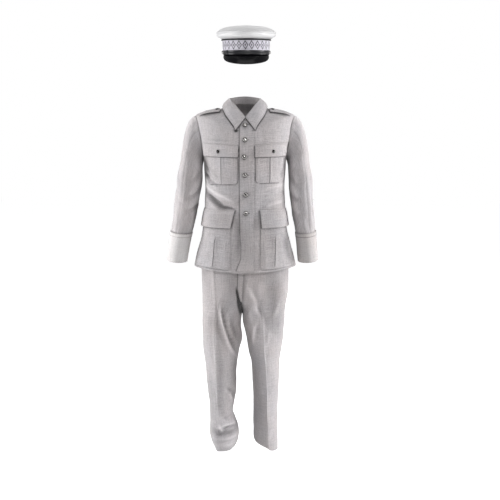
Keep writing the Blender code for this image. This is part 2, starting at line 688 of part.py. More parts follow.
def buildEpaulette(side):
    # a strap from the armhole seam to a blunt point by the collar
    seam = armholeLoop("left", np.linspace(-70, 70, 57))[0]
    v = np.array([-1, -0.5, 0, 0.5, 1])
    sign = 1 if side == "left" else -1
    rows = []
    for k in range(len(epauletteRows["reach"])):
        x = epauletteRows["reach"][k] + epauletteRows["point"][k] * (abs(v) - 1)
        y = epauletteRows["y"][k] - epauletteRows["half"][k] * v
        if k == 0:
            x = np.interp(-y, -seam[:, 1], seam[:, 0]) - epauletteSeam
        rows.append(place(sign * x, y, shoulderTop(side, x, y) + epauletteRows["stand"][k]))
    sheet("epaulette_" + side, np.array(rows), collarWall, flip=side == "left")


def button(name, spot, normal, radius, rise, look, steps=8):
    # a domed button turned round its shank and laid along the cloth's normal
    profile = [(0, 0), (radius * 0.88, 0), (radius, 0.0010), (radius * 0.93, 0.0022),
               (radius * 0.62, rise * 0.86), (0, rise)]
    mesh = bpy.data.meshes.new(name)
    mesh.from_pydata([(r, 0, z) for r, z in profile], [(k, k + 1) for k in range(len(profile) - 1)], [])
    made = finish(name, mesh, look)
    turned = made.modifiers.new("turned", "SCREW")
    turned.axis = "Z"
    turned.steps = steps
    turned.render_steps = steps
    turned.use_merge_vertices = True
    turned.merge_threshold = 0.00005
    turned.use_normal_calculate = True
    up = np.asarray(normal, float)
    side = np.cross((0, 0, 1) if abs(up[2]) < 0.9 else (1, 0, 0), up)
    side /= np.linalg.norm(side)
    across = np.cross(up, side)
    frame = np.eye(4)
    frame[:3, 0] = side
    frame[:3, 1] = across
    frame[:3, 2] = up
    frame[:3, 3] = spot
    made.matrix_world = Matrix(frame.tolist())
    return made


def buildButtons():
    for k in range(len(buttonRows["x"])):
        level = levelAt(buttonRows["height"][k])
        turn = turnAtX(buttonRows["x"][k], level)
        normal = torsoNormal(turn, level)
        spot = torsoPoint(turn, level) + normal * (frontRise + layerGap + bandWall + layerGap)
        button(f"front_button_{k + 1}", spot, normal, buttonRows["radius"][k], buttonRows["rise"][k], "metal")
    for side, x in (("left", 0.1175), ("right", -0.1100)):
        level = levelAt(1.3790, 60.0)
        turn = arcTurn(level, arcAtX(level, abs(x)))
        shown = turn if side == "left" else 180 - turn
        normal = torsoNormal(shown, level)
        spot = torsoPoint(shown, level) + normal * (0.0056 + 0.0006)
        button("breast_button_" + side, spot, normal, 0.0078, 0.0042, "horn")
        sign = 1 if side == "left" else -1
        x, y = epauletteButton
        step = 0.006
        z = shoulderTop(side, x + step * np.array([0, 1, -1, 0, 0]), y + step * np.array([0, 0, 0, 1, -1]))
        rise = np.array([sign * (z[2] - z[1]) / (2 * step), (z[4] - z[3]) / (2 * step), 1.0])
        rise /= np.linalg.norm(rise)
        spot = place(sign * x, y, z[0] + epauletteRows["stand"][4]) + rise * 0.0007
        button("epaulette_button_" + side, spot, rise, 0.0075, 0.0040, "horn")


# Where the trouser ring changes from hip to leg: lower end, and its start in front, at the back, at the side
forkHeight = 0.655
forkFront = 0.745
forkBack = 0.800
forkSide = 0.770
hipSquare = 2.25
creaseShape = 0.88
waistHeight = 1.022
waistTop = 1.062
waistStand = 0.0015
waistWall = 0.0022
hemHeight = {"right": 0.048, "left": 0.034}
trouserRows = [1.0215, 0.96, 0.90, 0.84, 0.79, 0.745, 0.72, 0.70, 0.685, 0.67, 0.657, 0.62, 0.585, 0.55, 0.50,
               0.44, 0.38, 0.31, 0.245, 0.19, 0.15, 0.125, 0.105, 0.07]
legColumns = [0, 28, 55, 75, 90, 105, 130, 155, 180]
seamTurn = 0.18

# Fly strip: heights of its rows, its width in ring degrees low down and how much wider it is higher up
flyHeights = [0.985, 0.96, 0.90, 0.84, 0.79, 0.77]
flyEnd = 179.4
flyNarrow = 3.2
flyWiden = 17.5


def hipRadius(hip, c, s, front):
    depth = np.where(front, hip["front"], hip["back"])
    return ((abs(c) / hip["half"]) ** hipSquare + (abs(s) / depth) ** hipSquare) ** (-1 / hipSquare)


def trouserPoint(side, angle, height):
    # above the fork a quarter of the hip ring, below it a ring of the leg, blended where the rise curves in
    sign = 1 if side == "left" else -1
    front = angle >= 0
    facing = np.where(front, 1, -1)
    wide = abs(angle)
    leg = along(legRows[side], "height", height)
    hip = along(pelvis, "height", height)
    c = np.cos(np.radians(wide))
    s = np.sin(np.radians(wide))
    xLeg = leg["half"] * np.sign(c) * abs(c) ** leg["crease"]
    yLeg = -facing * np.where(front, leg["front"], leg["back"]) * abs(s) ** creaseShape
    swing = np.radians(leg["turn"])
    xFoot = leg["x"] + sign * (xLeg * np.cos(swing)) - yLeg * np.sin(swing) * sign
    yFoot = leg["y"] + yLeg * np.cos(swing) + xLeg * np.sin(swing)
    cq = np.cos(np.radians(wide / 2))
    sq = np.sin(np.radians(wide / 2))
    radius = hipRadius(hip, cq, sq, front)
    xHip = hip["middle"] * sq ** 2 + sign * radius * cq
    yHip = -facing * radius * sq
    high = forkSide + (np.where(front, forkFront, forkBack) - forkSide) * wide / 180
    t = np.clip((high - height) / (high - forkHeight), 0, 1)
    share = t * t * (3 - 2 * t)
    x = xHip + (xFoot - xHip) * share
    y = yHip + (yFoot - yHip) * share
    folds = trouserFolds[side]
    bump = np.zeros_like(x)
    signed = np.where(front, wide, -wide)
    for k in range(len(folds["angle"])):
        away = (signed - folds["angle"][k] + 180) % 360 - 180
        up = height - folds["height"][k] - away * folds["slant"][k]
        fall = (away / folds["spanAngle"][k]) ** 2 + (up / folds["spanHeight"][k]) ** 2
        bump = bump + folds["rise"][k] * np.exp(-fall)
    fade = soft(wide, 0, 12)
    x = x + sign * (c * share + cq * (1 - share)) * bump * fade
    y = y - facing * ((s * share + sq * (1 - share)) * bump * fade + 2 * seamGap)
    # above the fork each half stays on its own side of the centre seam
    centre = hip["middle"] + sign * seamGap
    seam = np.where(wide >= 179.9, centre, sign * np.maximum(sign * x, sign * centre))
    x = np.where(height > forkHeight, seam, x)
    lifted = height + leg["lift"] * (1 - c) / 2 + leg["pitch"] * s * facing
    return place(x, y, lifted)


def buildTrousers(side):
    for part, sign in (("front", 1), ("back", -1)):
        height, angle = grid(trouserRows + [hemHeight[side]], legColumns)
        angle = np.clip(angle, seamTurn, 180 - seamTurn)
        angle = np.where((height > forkHeight) & (angle > 179), 180.0, angle)
        points = trouserPoint(side, sign * angle, height)
        outward = (side == "left") == (part == "front")
        sheet(f"trouser_{part}_{side}", points, trouserWall, flip=not outward)


def buildWaist():
    # the waistband's upper edge lies against the inside of the tunic
    turn = np.linspace(90 - seamTurn, -270 + seamTurn, 25)
    inner = tunicWall + waistStand
    high = torsoPoint(turn, levelAt(waistTop), np.full_like(turn, -inner))
    c = np.cos(np.radians(turn))
    s = np.sin(np.radians(turn))
    radius = hipRadius(along(pelvis, "height", np.full_like(turn, waistHeight)), c, s, s > 0)
    low = place(radius * c, -radius * s, np.full_like(turn, waistHeight))
    sheet("trouser_waistband", np.array([low, high]), waistWall)
    # the fly strip runs from the centre over the right front
    height, across = grid(flyHeights, [0, 0.5, 1])
    angle = flyEnd - (flyNarrow + flyWiden * soft(height, 0.715, 0.775)) * across
    outer = trouserPoint("right", angle, height)
    step = trouserPoint("right", angle - 1.0, height) - outer
    rise = trouserPoint("right", angle, height + 0.004) - outer
    normal = np.cross(step, rise)
    normal /= np.linalg.norm(normal, axis=-1, keepdims=True)
    normal *= np.sign(-normal[..., 1:2])
    sheet("trouser_fly", outer + normal * (layerGap + bandWall), bandWall)


def capPoint(angle, rows, height, out=0.0):
    # angle 90 in front; ovals tipped forward about the band's lower edge
    row = along(rows, "height", height)
    c = np.cos(np.radians(angle))
    s = np.sin(np.radians(angle))
    depth = np.where(s > 0, row["front"], row["back"])
    x = (row["half"] + out) * c
    y = -(depth + out) * s
    z = height + np.zeros_like(x)
    turnedY = y * math.cos(capTip) - z * math.sin(capTip)
    turnedZ = z * math.cos(capTip) + y * math.sin(capTip)
    return place(capMiddle[0] + x, capMiddle[1] + turnedY, capMiddle[2] + turnedZ)


ovalTurns = np.arange(24) * 15.0
ribbonOut = 0.0015
ribbonWall = 0.0008
pipingRadius = 0.0021
pipingOut = 0.0036
pipingHeight = 0.0467
peakSpread = 68
peakRoot = -0.0128
peakOut = 0.0022
peakReach = 0.036
peakDrop = 0.041
strapSpread = 84
strapRows = [-0.0115, -0.004, 0.0035]
strapOut = 0.0022
strapClear = 0.0062
keeperTurn = 141
keeperRows = [-0.0113, -0.004, 0.0040]
keeperOut = 0.0020
capButtonHeight = -0.003
capButtonOut = 0.0028


def strapPoint(angle, height, out=0.0):
    # in front the strap's lower edge stands out over the root of the peak
    clear = soft(-abs(angle - 90), -strapSpread, -60) * soft(-height, -0.006, 0.0120)
    return capPoint(angle, capRings, height, strapOut + out + strapClear * clear)


def buildCap():
    height, angle = grid([-0.016, 0.012, 0.0478], ovalTurns)
    sheet("cap_band", capPoint(angle, capRings, height), capWall, "black", closed=True, flip=True)
    height, angle = grid([0.0045, 0.0455], ovalTurns)
    ribbon = capPoint(angle, capRings, height, ribbonOut)
    sheet("cap_ribbon", ribbon, ribbonWall, "ribbon", closed=True, flip=True)
    height, angle = grid([0.0482, 0.054, 0.061, 0.067, 0.0765], ovalTurns)
    sheet("cap_side", capPoint(angle, capRings, height), capWall, "crown", closed=True, flip=True)
    height, angle = grid(capRoof["height"], ovalTurns)
    roof = capPoint(angle, capRoof, height)
    rows, columns = roof.shape[:2]
    faces = gridFaces(rows, columns, True).tolist()
    last = (rows - 1) * columns
    faces += [[last + k, last + (k + 1) % columns, rows * columns] for k in range(columns)]
    mesh = bpy.data.meshes.new("cap_roof")
    middle = roof[-1].mean(axis=0)
    mesh.from_pydata(roof.reshape(-1, 3).tolist() + [middle.tolist()], [], faces)
    made = finish("cap_roof", mesh, "crown")
    thicken = made.modifiers.new("wall", "SOLIDIFY")
    thicken.thickness = capWall
    thicken.offset = -1
    # black piping in the join of crown and band: a thin rod bent round the oval
    around, ring = np.meshgrid(ovalTurns, np.arange(5) * 72.0, indexing="ij")
    height = pipingHeight + pipingRadius * np.sin(np.radians(ring))
    out = pipingOut + pipingRadius * np.cos(np.radians(ring))
    top = {name: np.full(2, capRings[name][2]) for name in capRings}
    top["height"] = np.array([0.03, 0.07])
    tube = capPoint(around, top, height, out)
    n, m = tube.shape[:2]
    i, j = np.meshgrid(np.arange(n), np.arange(m), indexing="ij")
    quads = np.stack([i * m + j, i * m + (j + 1) % m, (i + 1) % n * m + (j + 1) % m, (i + 1) % n * m + j], -1)
    mesh = bpy.data.meshes.new("cap_piping")
    mesh.from_pydata(tube.reshape(-1, 3).tolist(), [], quads.reshape(-1, 4).tolist())
    finish("cap_piping", mesh, "black")
    # peak: a stiff crescent springing from under the front of the band and sloping steeply down
    spread = np.linspace(-peakSpread, peakSpread, 13) + 90
    share = np.array([0, 0.33, 0.67, 1.0])
    angle, reach = np.meshgrid(spread, share, indexing="ij")
    width = np.cos(np.radians((angle - 90) * 90 / (peakSpread + 2))) ** 0.55
    root = capPoint(angle, capRings, np.full_like(angle, peakRoot), peakOut)
    flare = peakReach * width * reach
    drop = peakDrop * width * reach
    c = np.cos(np.radians(angle))
    s = np.sin(np.radians(angle))
    peak = root + np.stack([c * flare * 0.55, -s * flare, -drop * (0.88 + 0.12 * reach)], -1)
    sheet("cap_peak", peak, 0.0022, "black", flip=True)
    # chin strap over the root of the peak, held by a button at each end
    height, angle = grid(strapRows, np.linspace(-strapSpread, strapSpread, 17) + 90)
    sheet("cap_strap", strapPoint(angle, height), 0.0014, "black", flip=True)
    height, angle = grid(keeperRows, np.linspace(-3, 3, 3) + keeperTurn)
    sheet("cap_keeper", strapPoint(angle, height, keeperOut), 0.0012, "black", flip=True)
    for side, turn in (("left", 3.0), ("right", 177.0)):
        out = capButtonOut + np.array([0, 0.01])
        spot, ahead = capPoint(turn, capRings, np.full(2, capButtonHeight), out)
        normal = (ahead - spot) / np.linalg.norm(ahead - spot)
        button("cap_button_" + side, spot, normal, 0.0068, 0.0042, "metal")


buildTunicBody()
buildBand()
for side in ("left", "right"):
    buildSleeve(side)
    buildBreastPocket(side)
    buildLowerPocket(side)
    buildEpaulette(side)
    buildTrousers(side)
buildCollar()
buildButtons()
buildWaist()
buildCap()
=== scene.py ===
import math

import bpy
import numpy as np
from mathutils import Matrix


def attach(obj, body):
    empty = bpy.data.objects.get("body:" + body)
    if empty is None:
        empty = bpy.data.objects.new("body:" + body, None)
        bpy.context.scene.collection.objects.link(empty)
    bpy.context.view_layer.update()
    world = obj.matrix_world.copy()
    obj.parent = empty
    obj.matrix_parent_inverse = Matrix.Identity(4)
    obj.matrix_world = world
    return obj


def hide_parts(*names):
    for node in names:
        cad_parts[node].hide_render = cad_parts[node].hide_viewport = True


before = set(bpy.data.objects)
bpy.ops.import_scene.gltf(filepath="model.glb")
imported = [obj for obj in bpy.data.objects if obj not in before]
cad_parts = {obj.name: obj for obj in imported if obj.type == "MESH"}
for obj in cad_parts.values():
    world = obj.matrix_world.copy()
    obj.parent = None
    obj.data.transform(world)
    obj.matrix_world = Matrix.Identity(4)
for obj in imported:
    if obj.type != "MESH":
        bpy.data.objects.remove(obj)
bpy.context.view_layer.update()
print("frame loaded:", len(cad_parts), "nodes")

# Heights in the tables are measured up from the sole; the frame's origin is at the shoulder line.
originHeight = 1.55
fullCircle = 2 * math.pi


def table(names, rows):
    # columns of numbers by name
    return {name: np.array([row[k] for row in rows], float) for k, name in enumerate(names.split())}


def creaseTable(rows, riseScale=1000):
    # a row for each crease, in millimetres: x and height of both ends, half width, bow to one side and rise
    # out of the cloth
    made = table("x0 z0 x1 z1 width bow rise", rows)
    return {name: column / (riseScale if name == "rise" else 1000) for name, column in made.items()}


def shadeTable(rows):
    # painted shade and painted light laid out as creases are, with a strength for the rise: above nought it
    # is painted shade, below it painted light
    return creaseTable(rows, 1)


# Curves and fields shared by every piece


def follow(knots, values, at):
    # a smooth curve through the rows that never overshoots them: cubic pieces with harmonic-mean slopes
    step = np.diff(knots)
    slope = np.diff(values) / step
    tangent = np.zeros(len(knots))
    rising = slope[1:] * slope[:-1] > 0
    tangent[1:-1][rising] = 2 * slope[1:][rising] * slope[:-1][rising] / (slope[1:] + slope[:-1])[rising]
    tangent[0] = slope[0]
    tangent[-1] = slope[-1]
    at = np.clip(at, knots[0], knots[-1])
    k = np.clip(np.searchsorted(knots, at, side="right") - 1, 0, len(step) - 1)
    t = (at - knots[k]) / step[k]
    near = (1 + 2 * t) * (1 - t) ** 2 * values[k] + t * (1 - t) ** 2 * step[k] * tangent[k]
    far = t * t * (3 - 2 * t) * values[k + 1] + t * t * (t - 1) * step[k] * tangent[k + 1]
    return near + far


def along(rows, key, at):
    # every column of a table at given places of one of its columns, by the smooth curve
    order = np.argsort(rows[key])
    return {name: follow(rows[key][order], rows[name][order], at) for name in rows}


def soft(value, low, high):
    # smooth step from 0 at low to 1 at high
    t = np.clip((value - low) / (high - low), 0, 1)
    return t * t * (3 - 2 * t)


def bell(away, reach):
    # 1 where nothing is away, falling as the exponential of minus the square of the share of its reach
    return np.exp(-(away / reach) ** 2)


def circle(degrees):
    # cosine and sine of an angle in degrees
    return np.cos(np.radians(degrees)), np.sin(np.radians(degrees))


def place(x, y, height):
    # x, y and a height above the sole as points in the frame
    return np.stack(np.broadcast_arrays(x, y, height - originHeight), -1)


def spaced(count, tight=0.8):
    # count parameters from 0 to 1, closer together towards both ends
    t = np.linspace(0, 1, count)
    return t - tight * np.sin(fullCircle * t) / fullCircle


def gridOf(rows, columns):
    # both parameters of a surface at every point of its grid
    return np.meshgrid(rows, columns, indexing="ij")


def unit(vectors):
    # the same directions at length one
    return vectors / np.maximum(np.linalg.norm(vectors, axis=-1, keepdims=True), 1e-9)


def walked(path):
    # distance walked along a path, from its first point to each of its points
    return np.concatenate([[0], np.cumsum(np.linalg.norm(np.diff(path, axis=0), axis=1))])


def creases(x, height, rows, widen=1.0):
    # each crease runs from one point to another, bowed, tapered at both ends, with a bell-shaped section;
    # the height out of the cloth is the sum of them
    total = np.zeros(np.broadcast(x, height).shape)
    for k in range(len(rows["x0"])):
        runX = rows["x1"][k] - rows["x0"][k]
        runZ = rows["z1"][k] - rows["z0"][k]
        length = math.hypot(runX, runZ)
        t = ((x - rows["x0"][k]) * runX + (height - rows["z0"][k]) * runZ) / length ** 2
        off = ((height - rows["z0"][k]) * runX - (x - rows["x0"][k]) * runZ) / length
        off = off - rows["bow"][k] * (1 - (2 * t - 1) ** 2)
        ends = soft(t, -0.15, 0.35) * soft(1 - t, -0.15, 0.35)
        total = total + rows["rise"][k] * ends * np.exp(-(off / rows["width"][k] / widen) ** 2)
    return total


def paintedShadeFrom(rows, points):
    # the painted shade that a table gives at each point, painted light where it is below nought, a tenth
    # wider than it says
    return creases(points[..., 0], points[..., 2] + originHeight, rows, 1.1)


def ripple(x, height, seed, amount):
    # cloth is never quite smooth: a few long slow waves in different directions
    total = np.zeros(np.broadcast(x, height).shape)
    picks = np.random.default_rng(seed).random((6, 4))
    for pick in picks:
        turn = (pick[0] - 0.5) * 2.4
        length = 0.07 + 0.11 * pick[1]
        phase = (x * math.cos(turn) + height * math.sin(turn)) / length
        total = total + (0.4 + 0.6 * pick[2]) * np.sin(fullCircle * (phase + pick[3]))
    return total * amount / 2


# The tunic's body: its rings from the hem (level 0) to the neck (level 18)

torso = table("level side front back half frontDepth backDepth square", [
    (0, 0.88, 0.865, 0.87, 0.227, 0.15, 0.144, 2.3),
    (1, 0.92, 0.917, 0.92, 0.217, 0.147, 0.138, 2.3),
    (2, 0.97, 0.97, 0.97, 0.202, 0.142, 0.13, 2.3),
    (3, 1.02, 1.02, 1.02, 0.1875, 0.136, 0.123, 2.3),
    (4, 1.07, 1.07, 1.07, 0.1805, 0.131, 0.118, 2.3),
    (5, 1.12, 1.12, 1.12, 0.1775, 0.128, 0.113, 2.3),
    (6, 1.17, 1.17, 1.17, 0.1745, 0.126, 0.109, 2.3),
    (7, 1.21, 1.21, 1.21, 0.173, 0.128, 0.108, 2.3),
    (8, 1.26, 1.26, 1.26, 0.175, 0.135, 0.112, 2.3),
    (9, 1.31, 1.308, 1.312, 0.177, 0.141, 0.118, 2.3),
    (10, 1.352, 1.348, 1.356, 0.18, 0.143, 0.123, 2.3),
    (11, 1.392, 1.383, 1.402, 0.188, 0.142, 0.127, 2.3),
    (12, 1.432, 1.415, 1.45, 0.197, 0.138, 0.127, 2.25),
    (13, 1.484, 1.442, 1.5, 0.207, 0.131, 0.122, 2.2),
    (14, 1.529, 1.464, 1.537, 0.213, 0.123, 0.111, 2.1),
    (15, 1.543, 1.476, 1.552, 0.178, 0.116, 0.1, 2.05),
    (16, 1.551, 1.487, 1.562, 0.143, 0.11, 0.088, 2),
    (17, 1.559, 1.497, 1.571, 0.107, 0.104, 0.077, 2),
    (18, 1.569, 1.505, 1.578, 0.074, 0.098, 0.067, 2),
])

tunic = {
    "wall": 0.0018, "pocketWall": 0.0013, "bandWall": 0.001, "collarWall": 0.0016,
    "sideSeamTurn": -8.0, "armholeReachTurn": 18.0, "armholeMiddle": 12.0, "armholeReach": 2.0,
    "neckLevel": 18.0, "overlapEnd": 0.033, "bandInset": 0.0008, "bandInner": 0.04, "frontRise": 0.0022,
    "layerGap": 0.0004, "seamGap": 0.00018, "ripple": 0.0011, "creaseGain": 1.5, "hemStitch": 0.024,
    "buttonShade": 0.5, "buttonShadeReach": 0.0105, "buttonShadeShift": (0.0035, 0.003),
}

# Broad folds of the tunic by turn and level, as the cloth is cut and worn
tunicFolds = table("turn level spanTurn spanLevel height slant", [
    (142, 5.85, 15, 0.42, -0.0055, 0.03),
    (141, 6.55, 17, 0.45, 0.0035, 0.03),
    (30, 6.4, 16, 0.45, -0.003, -0.01),
    (-60, 6.4, 22, 0.4, -0.004, 0.012),
    (-120, 6.1, 20, 0.5, -0.0045, -0.016),
    (-150, 9.5, 12, 1.2, -0.004, 0.03),
    (-30, 9.3, 12, 1.3, -0.004, -0.03),
])

# Creases seen from in front
frontCreases = creaseTable([
    (-182, 1216, -84, 1140, 10, -7, -9.2),
    (-96, 1145, -30, 1134, 8, 2, -5.8),
    (-180, 1246, -26, 1164, 13, -8, 6.6),
    (-150, 1186, -60, 1146, 7, -3, -2.4),
    (-182, 1296, -108, 1240, 7, -5, -4.6),
    (-178, 1274, -98, 1216, 8, -4, 3.8),
    (-174, 1330, -122, 1262, 6, -4, -3.4),
    (-162, 1434, -40, 1425, 4.5, 1, -1),
    (160, 1436, 60, 1424, 5, -1, -0.9),
    (178, 1300, 120, 1262, 8, 4, -1.6),
    (176, 1236, 70, 1214, 11, -6, 1.8),
    (178, 1205, 90, 1176, 9, -5, -2),
    (170, 1166, 85, 1148, 8, -3, 1.6),
    (-186, 1010, -45, 1004, 9, 4, -1.6),
    (-190, 992, -50, 986, 10, 3, 1.4),
    (186, 998, 70, 1006, 9, 4, -1.2),
    (-175, 938, -60, 930, 6, 2, -1.2),
    (180, 945, 75, 934, 6, 2, -1.2),
    (-28, 1040, -30, 890, 6, 2, -1.6),
    (178, 1345, 150, 1270, 7, 3, -2.2),
])

# The same for the back
backCreases = creaseTable([
    (-150, 1420, -90, 1240, 18.2, 10, -2.1),
    (150, 1410, 95, 1250, 16.8, -10, -1.9),
    (-170, 1230, -30, 1170, 15.4, 6, -1.9),
    (168, 1215, 40, 1160, 14, -7, -1.6),
    (-165, 1190, -40, 1136, 16.8, 5, 1.7),
    (165, 1180, 30, 1140, 15.4, -6, 1.5),
    (-150, 1130, 20, 1112, 14, 4, -1.4),
    (150, 1120, 20, 1092, 12.6, -3, -1.1),
    (-60, 1500, 65, 1502, 16.8, 6, -1),
    (-90, 1060, -110, 890, 23.8, 4, 1.9),
    (85, 1050, 120, 890, 22.4, -4, 1.7),
    (-10, 1080, 5, 890, 19.6, 2, -1.9),
])


def torsoSmooth(turn, level):
    # a squarish oval at each level, its height blending from side to front or back, plus the broad folds
    turn, level = np.broadcast_arrays(np.asarray(turn, float), np.asarray(level, float))
    row = along(torso, "level", level)
    c, s = circle(turn)
    depth = np.where(s > 0, row["frontDepth"], row["backDepth"])
    power = row["square"]
    radius = ((abs(c) / row["half"]) ** power + (abs(s) / depth) ** power) ** (-1 / power)
    for k in range(len(tunicFolds["turn"])):
        away = (turn - tunicFolds["turn"][k] + 180) % 360 - 180
        up = level - tunicFolds["level"][k] - away * tunicFolds["slant"][k]
        fall = (away / tunicFolds["spanTurn"][k]) ** 2 + (up / tunicFolds["spanLevel"][k]) ** 2
        radius = radius + tunicFolds["height"][k] * np.exp(-fall)
    end = np.where(s > 0, row["front"], row["back"])
    return place(radius * c, -radius * s, row["side"] + (end - row["side"]) * s * s)


def torsoNormal(turn, level):
    # outward from the smooth body: the way up crossed with the way round
    across = torsoSmooth(turn + 0.4, level) - torsoSmooth(turn - 0.4, level)
    up = torsoSmooth(turn, level + 0.02) - torsoSmooth(turn, level - 0.02)
    return unit(np.cross(up, across))


def torsoPoint(turn, level, out=0.0):
    # the smooth body moved out along its own normal by creases, slow waves and the piece's own rise
    turn, level = np.broadcast_arrays(np.asarray(turn, float), np.asarray(level, float))
    points = torsoSmooth(turn, level)
    s = np.sin(np.radians(turn))
    height = points[..., 2] + originHeight
    quiet = soft(level, tunic["neckLevel"], 15.5) * (0.35 + 0.65 * soft(abs(points[..., 0]), 0.02, 0.06))
    fold = creases(points[..., 0], height, frontCreases) * soft(s, 0.05, 0.45)
    fold = fold + creases(points[..., 0], height, backCreases) * soft(-s, 0.05, 0.45)
    fold = fold * tunic["creaseGain"] + ripple(np.radians(turn) * 0.17, height, 3, tunic["ripple"])
    return points + torsoNormal(turn, level) * (fold * quiet + out)[..., None]


def turnAtX(x, level):
    # the turn that faces x across the front: a right angle less the arc tangent of x over the depth
    depth = along(torso, "level", level)["frontDepth"]
    return 90 - np.degrees(np.arctan2(x, depth))


def armholeTurn(level, side):
    # the armhole is an oval in turn and level
    swing = np.clip((level - tunic["armholeMiddle"]) / tunic["armholeReach"], -1, 1)
    middle = tunic["sideSeamTurn"] * (1 - swing) / 2
    reach = tunic["armholeReachTurn"] * np.sqrt(1 - swing ** 2)
    return middle + (reach if side == "front" else -reach)


def levelAt(height, turn=90.0):
    # the level at which the body reaches a height on one turn
    levels = np.linspace(0, tunic["neckLevel"], 721)
    return np.interp(height, torsoSmooth(turn, levels)[:, 2] + originHeight, levels)


def arcTurn(level, arc):
    # the turn reached after walking an arc length from the centre front
    turns = np.linspace(90, -40, 261)
    return np.interp(arc, walked(torsoSmooth(turns, level)), turns)


def arcAtX(level, x):
    # the arc length walked from the centre front to the point at x across
    turns = np.linspace(90, -10, 401)
    walk = torsoSmooth(turns, level)
    return np.interp(x, walk[:, 0], walked(walk))


# Materials: shared effects are groups with named sockets, built once


def newGroup(name, inputs, outputs):
    # an empty shader group with named sockets
    group = bpy.data.node_groups.new(name, "ShaderNodeTree")
    for label, kind, value in inputs:
        made = group.interface.new_socket(name=label, in_out="INPUT", socket_type=kind)
        if value is not None:
            made.default_value = value
    for label, kind in outputs:
        group.interface.new_socket(name=label, in_out="OUTPUT", socket_type=kind)
    group.nodes.new("NodeGroupInput")
    group.nodes.new("NodeGroupOutput")
    return group


def fill(made, **values):
    # a name is a setting of the node, or else one of its sockets, with spaces for the underscores
    for name, value in values.items():
        if hasattr(made, name):
            setattr(made, name, value)
        else:
            made.inputs[name.replace("_", " ")].default_value = value
    return made


def node(tree, kind, **values):
    return fill(tree.nodes.new(kind), **values)


def calc(tree, operation, a, b=None):
    # numbers are set and sockets are joined
    made = tree.nodes.new("ShaderNodeMath")
    made.operation = operation
    for k, value in enumerate((a, b)):
        if value is None:
            continue
        if isinstance(value, (int, float)):
            made.inputs[k].default_value = value
        else:
            tree.links.new(value, made.inputs[k])
    return made.outputs[0]


def mixColour(tree, share, a, b):
    # colour a where the share is 0, b where it is 1
    made = tree.nodes.new("ShaderNodeMix")
    made.data_type = "RGBA"
    for socket, value in ((0, share), (6, a), (7, b)):
        if hasattr(value, "links"):
            tree.links.new(value, made.inputs[socket])
        else:
            made.inputs[socket].default_value = value
    return made.outputs[2]


def buildWeaveGroup():
    # yarns cross in both directions; dark and pale fibres mixed in the yarn give the salt-and-pepper look
    group = newGroup("weave", [
        ("Vector", "NodeSocketVector", None), ("Light", "NodeSocketColor", (0.6, 0.57, 0.55, 1)),
        ("Dark", "NodeSocketColor", (0.2, 0.19, 0.2, 1)), ("Pitch", "NodeSocketFloat", 0.0011),
        ("Fleck", "NodeSocketFloat", 0.5), ("Streak", "NodeSocketFloat", 0.1)],
        [("Colour", "NodeSocketColor"), ("Relief", "NodeSocketFloat")])
    start = group.nodes["Group Input"]
    end = group.nodes["Group Output"]
    link = group.links.new
    parts = node(group, "ShaderNodeSeparateXYZ")
    link(start.outputs["Vector"], parts.inputs[0])
    waves = []
    for k in (0, 1):
        turns = calc(group, "MULTIPLY", parts.outputs[k], fullCircle)
        waves.append(calc(group, "SINE", calc(group, "DIVIDE", turns, start.outputs["Pitch"])))
    relief = calc(group, "MULTIPLY", *waves)
    fine = node(group, "ShaderNodeTexNoise", Scale=700.0, Detail=2.0, Roughness=0.7)
    coarse = node(group, "ShaderNodeTexNoise", Scale=170.0, Detail=3.0, Roughness=0.8)
    link(start.outputs["Vector"], fine.inputs["Vector"])
    link(start.outputs["Vector"], coarse.inputs["Vector"])
    streaks = []
    for stretch in ((190.0, 16.0, 1.0), (20.0, 230.0, 1.0)):
        moved = node(group, "ShaderNodeVectorMath", operation="MULTIPLY")
        moved.inputs[1].default_value = stretch
        link(start.outputs["Vector"], moved.inputs[0])
        noise = node(group, "ShaderNodeTexNoise", Scale=1.0, Detail=2.0, Roughness=0.6)
        link(moved.outputs[0], noise.inputs["Vector"])
        streaks.append(noise.outputs["Fac"])
    fleck = calc(group, "ADD", calc(group, "MULTIPLY", fine.outputs["Fac"], 0.55),
                 calc(group, "MULTIPLY", coarse.outputs["Fac"], 0.45))
    sharp = node(group, "ShaderNodeMapRange", interpolation_type="SMOOTHSTEP")
    sharp.inputs[1].default_value = 0.36
    sharp.inputs[2].default_value = 0.62
    link(fleck, sharp.inputs[0])
    pale = calc(group, "SUBTRACT", 1.0, sharp.outputs[0])
    mixed = calc(group, "MULTIPLY", pale, start.outputs["Fleck"])
    drift = calc(group, "SUBTRACT", calc(group, "ADD", streaks[0], streaks[1]), 1.0)
    share = calc(group, "ADD", mixed, calc(group, "MULTIPLY", drift, start.outputs["Streak"]))
    clamp = node(group, "ShaderNodeClamp")
    link(share, clamp.inputs[0])
    colour = mixColour(group, clamp.outputs[0], start.outputs["Light"], start.outputs["Dark"])
    link(colour, end.inputs["Colour"])
    link(calc(group, "ADD", calc(group, "MULTIPLY", relief, 0.5), calc(group, "MULTIPLY", fleck, 1.2)),
         end.inputs["Relief"])
    return group


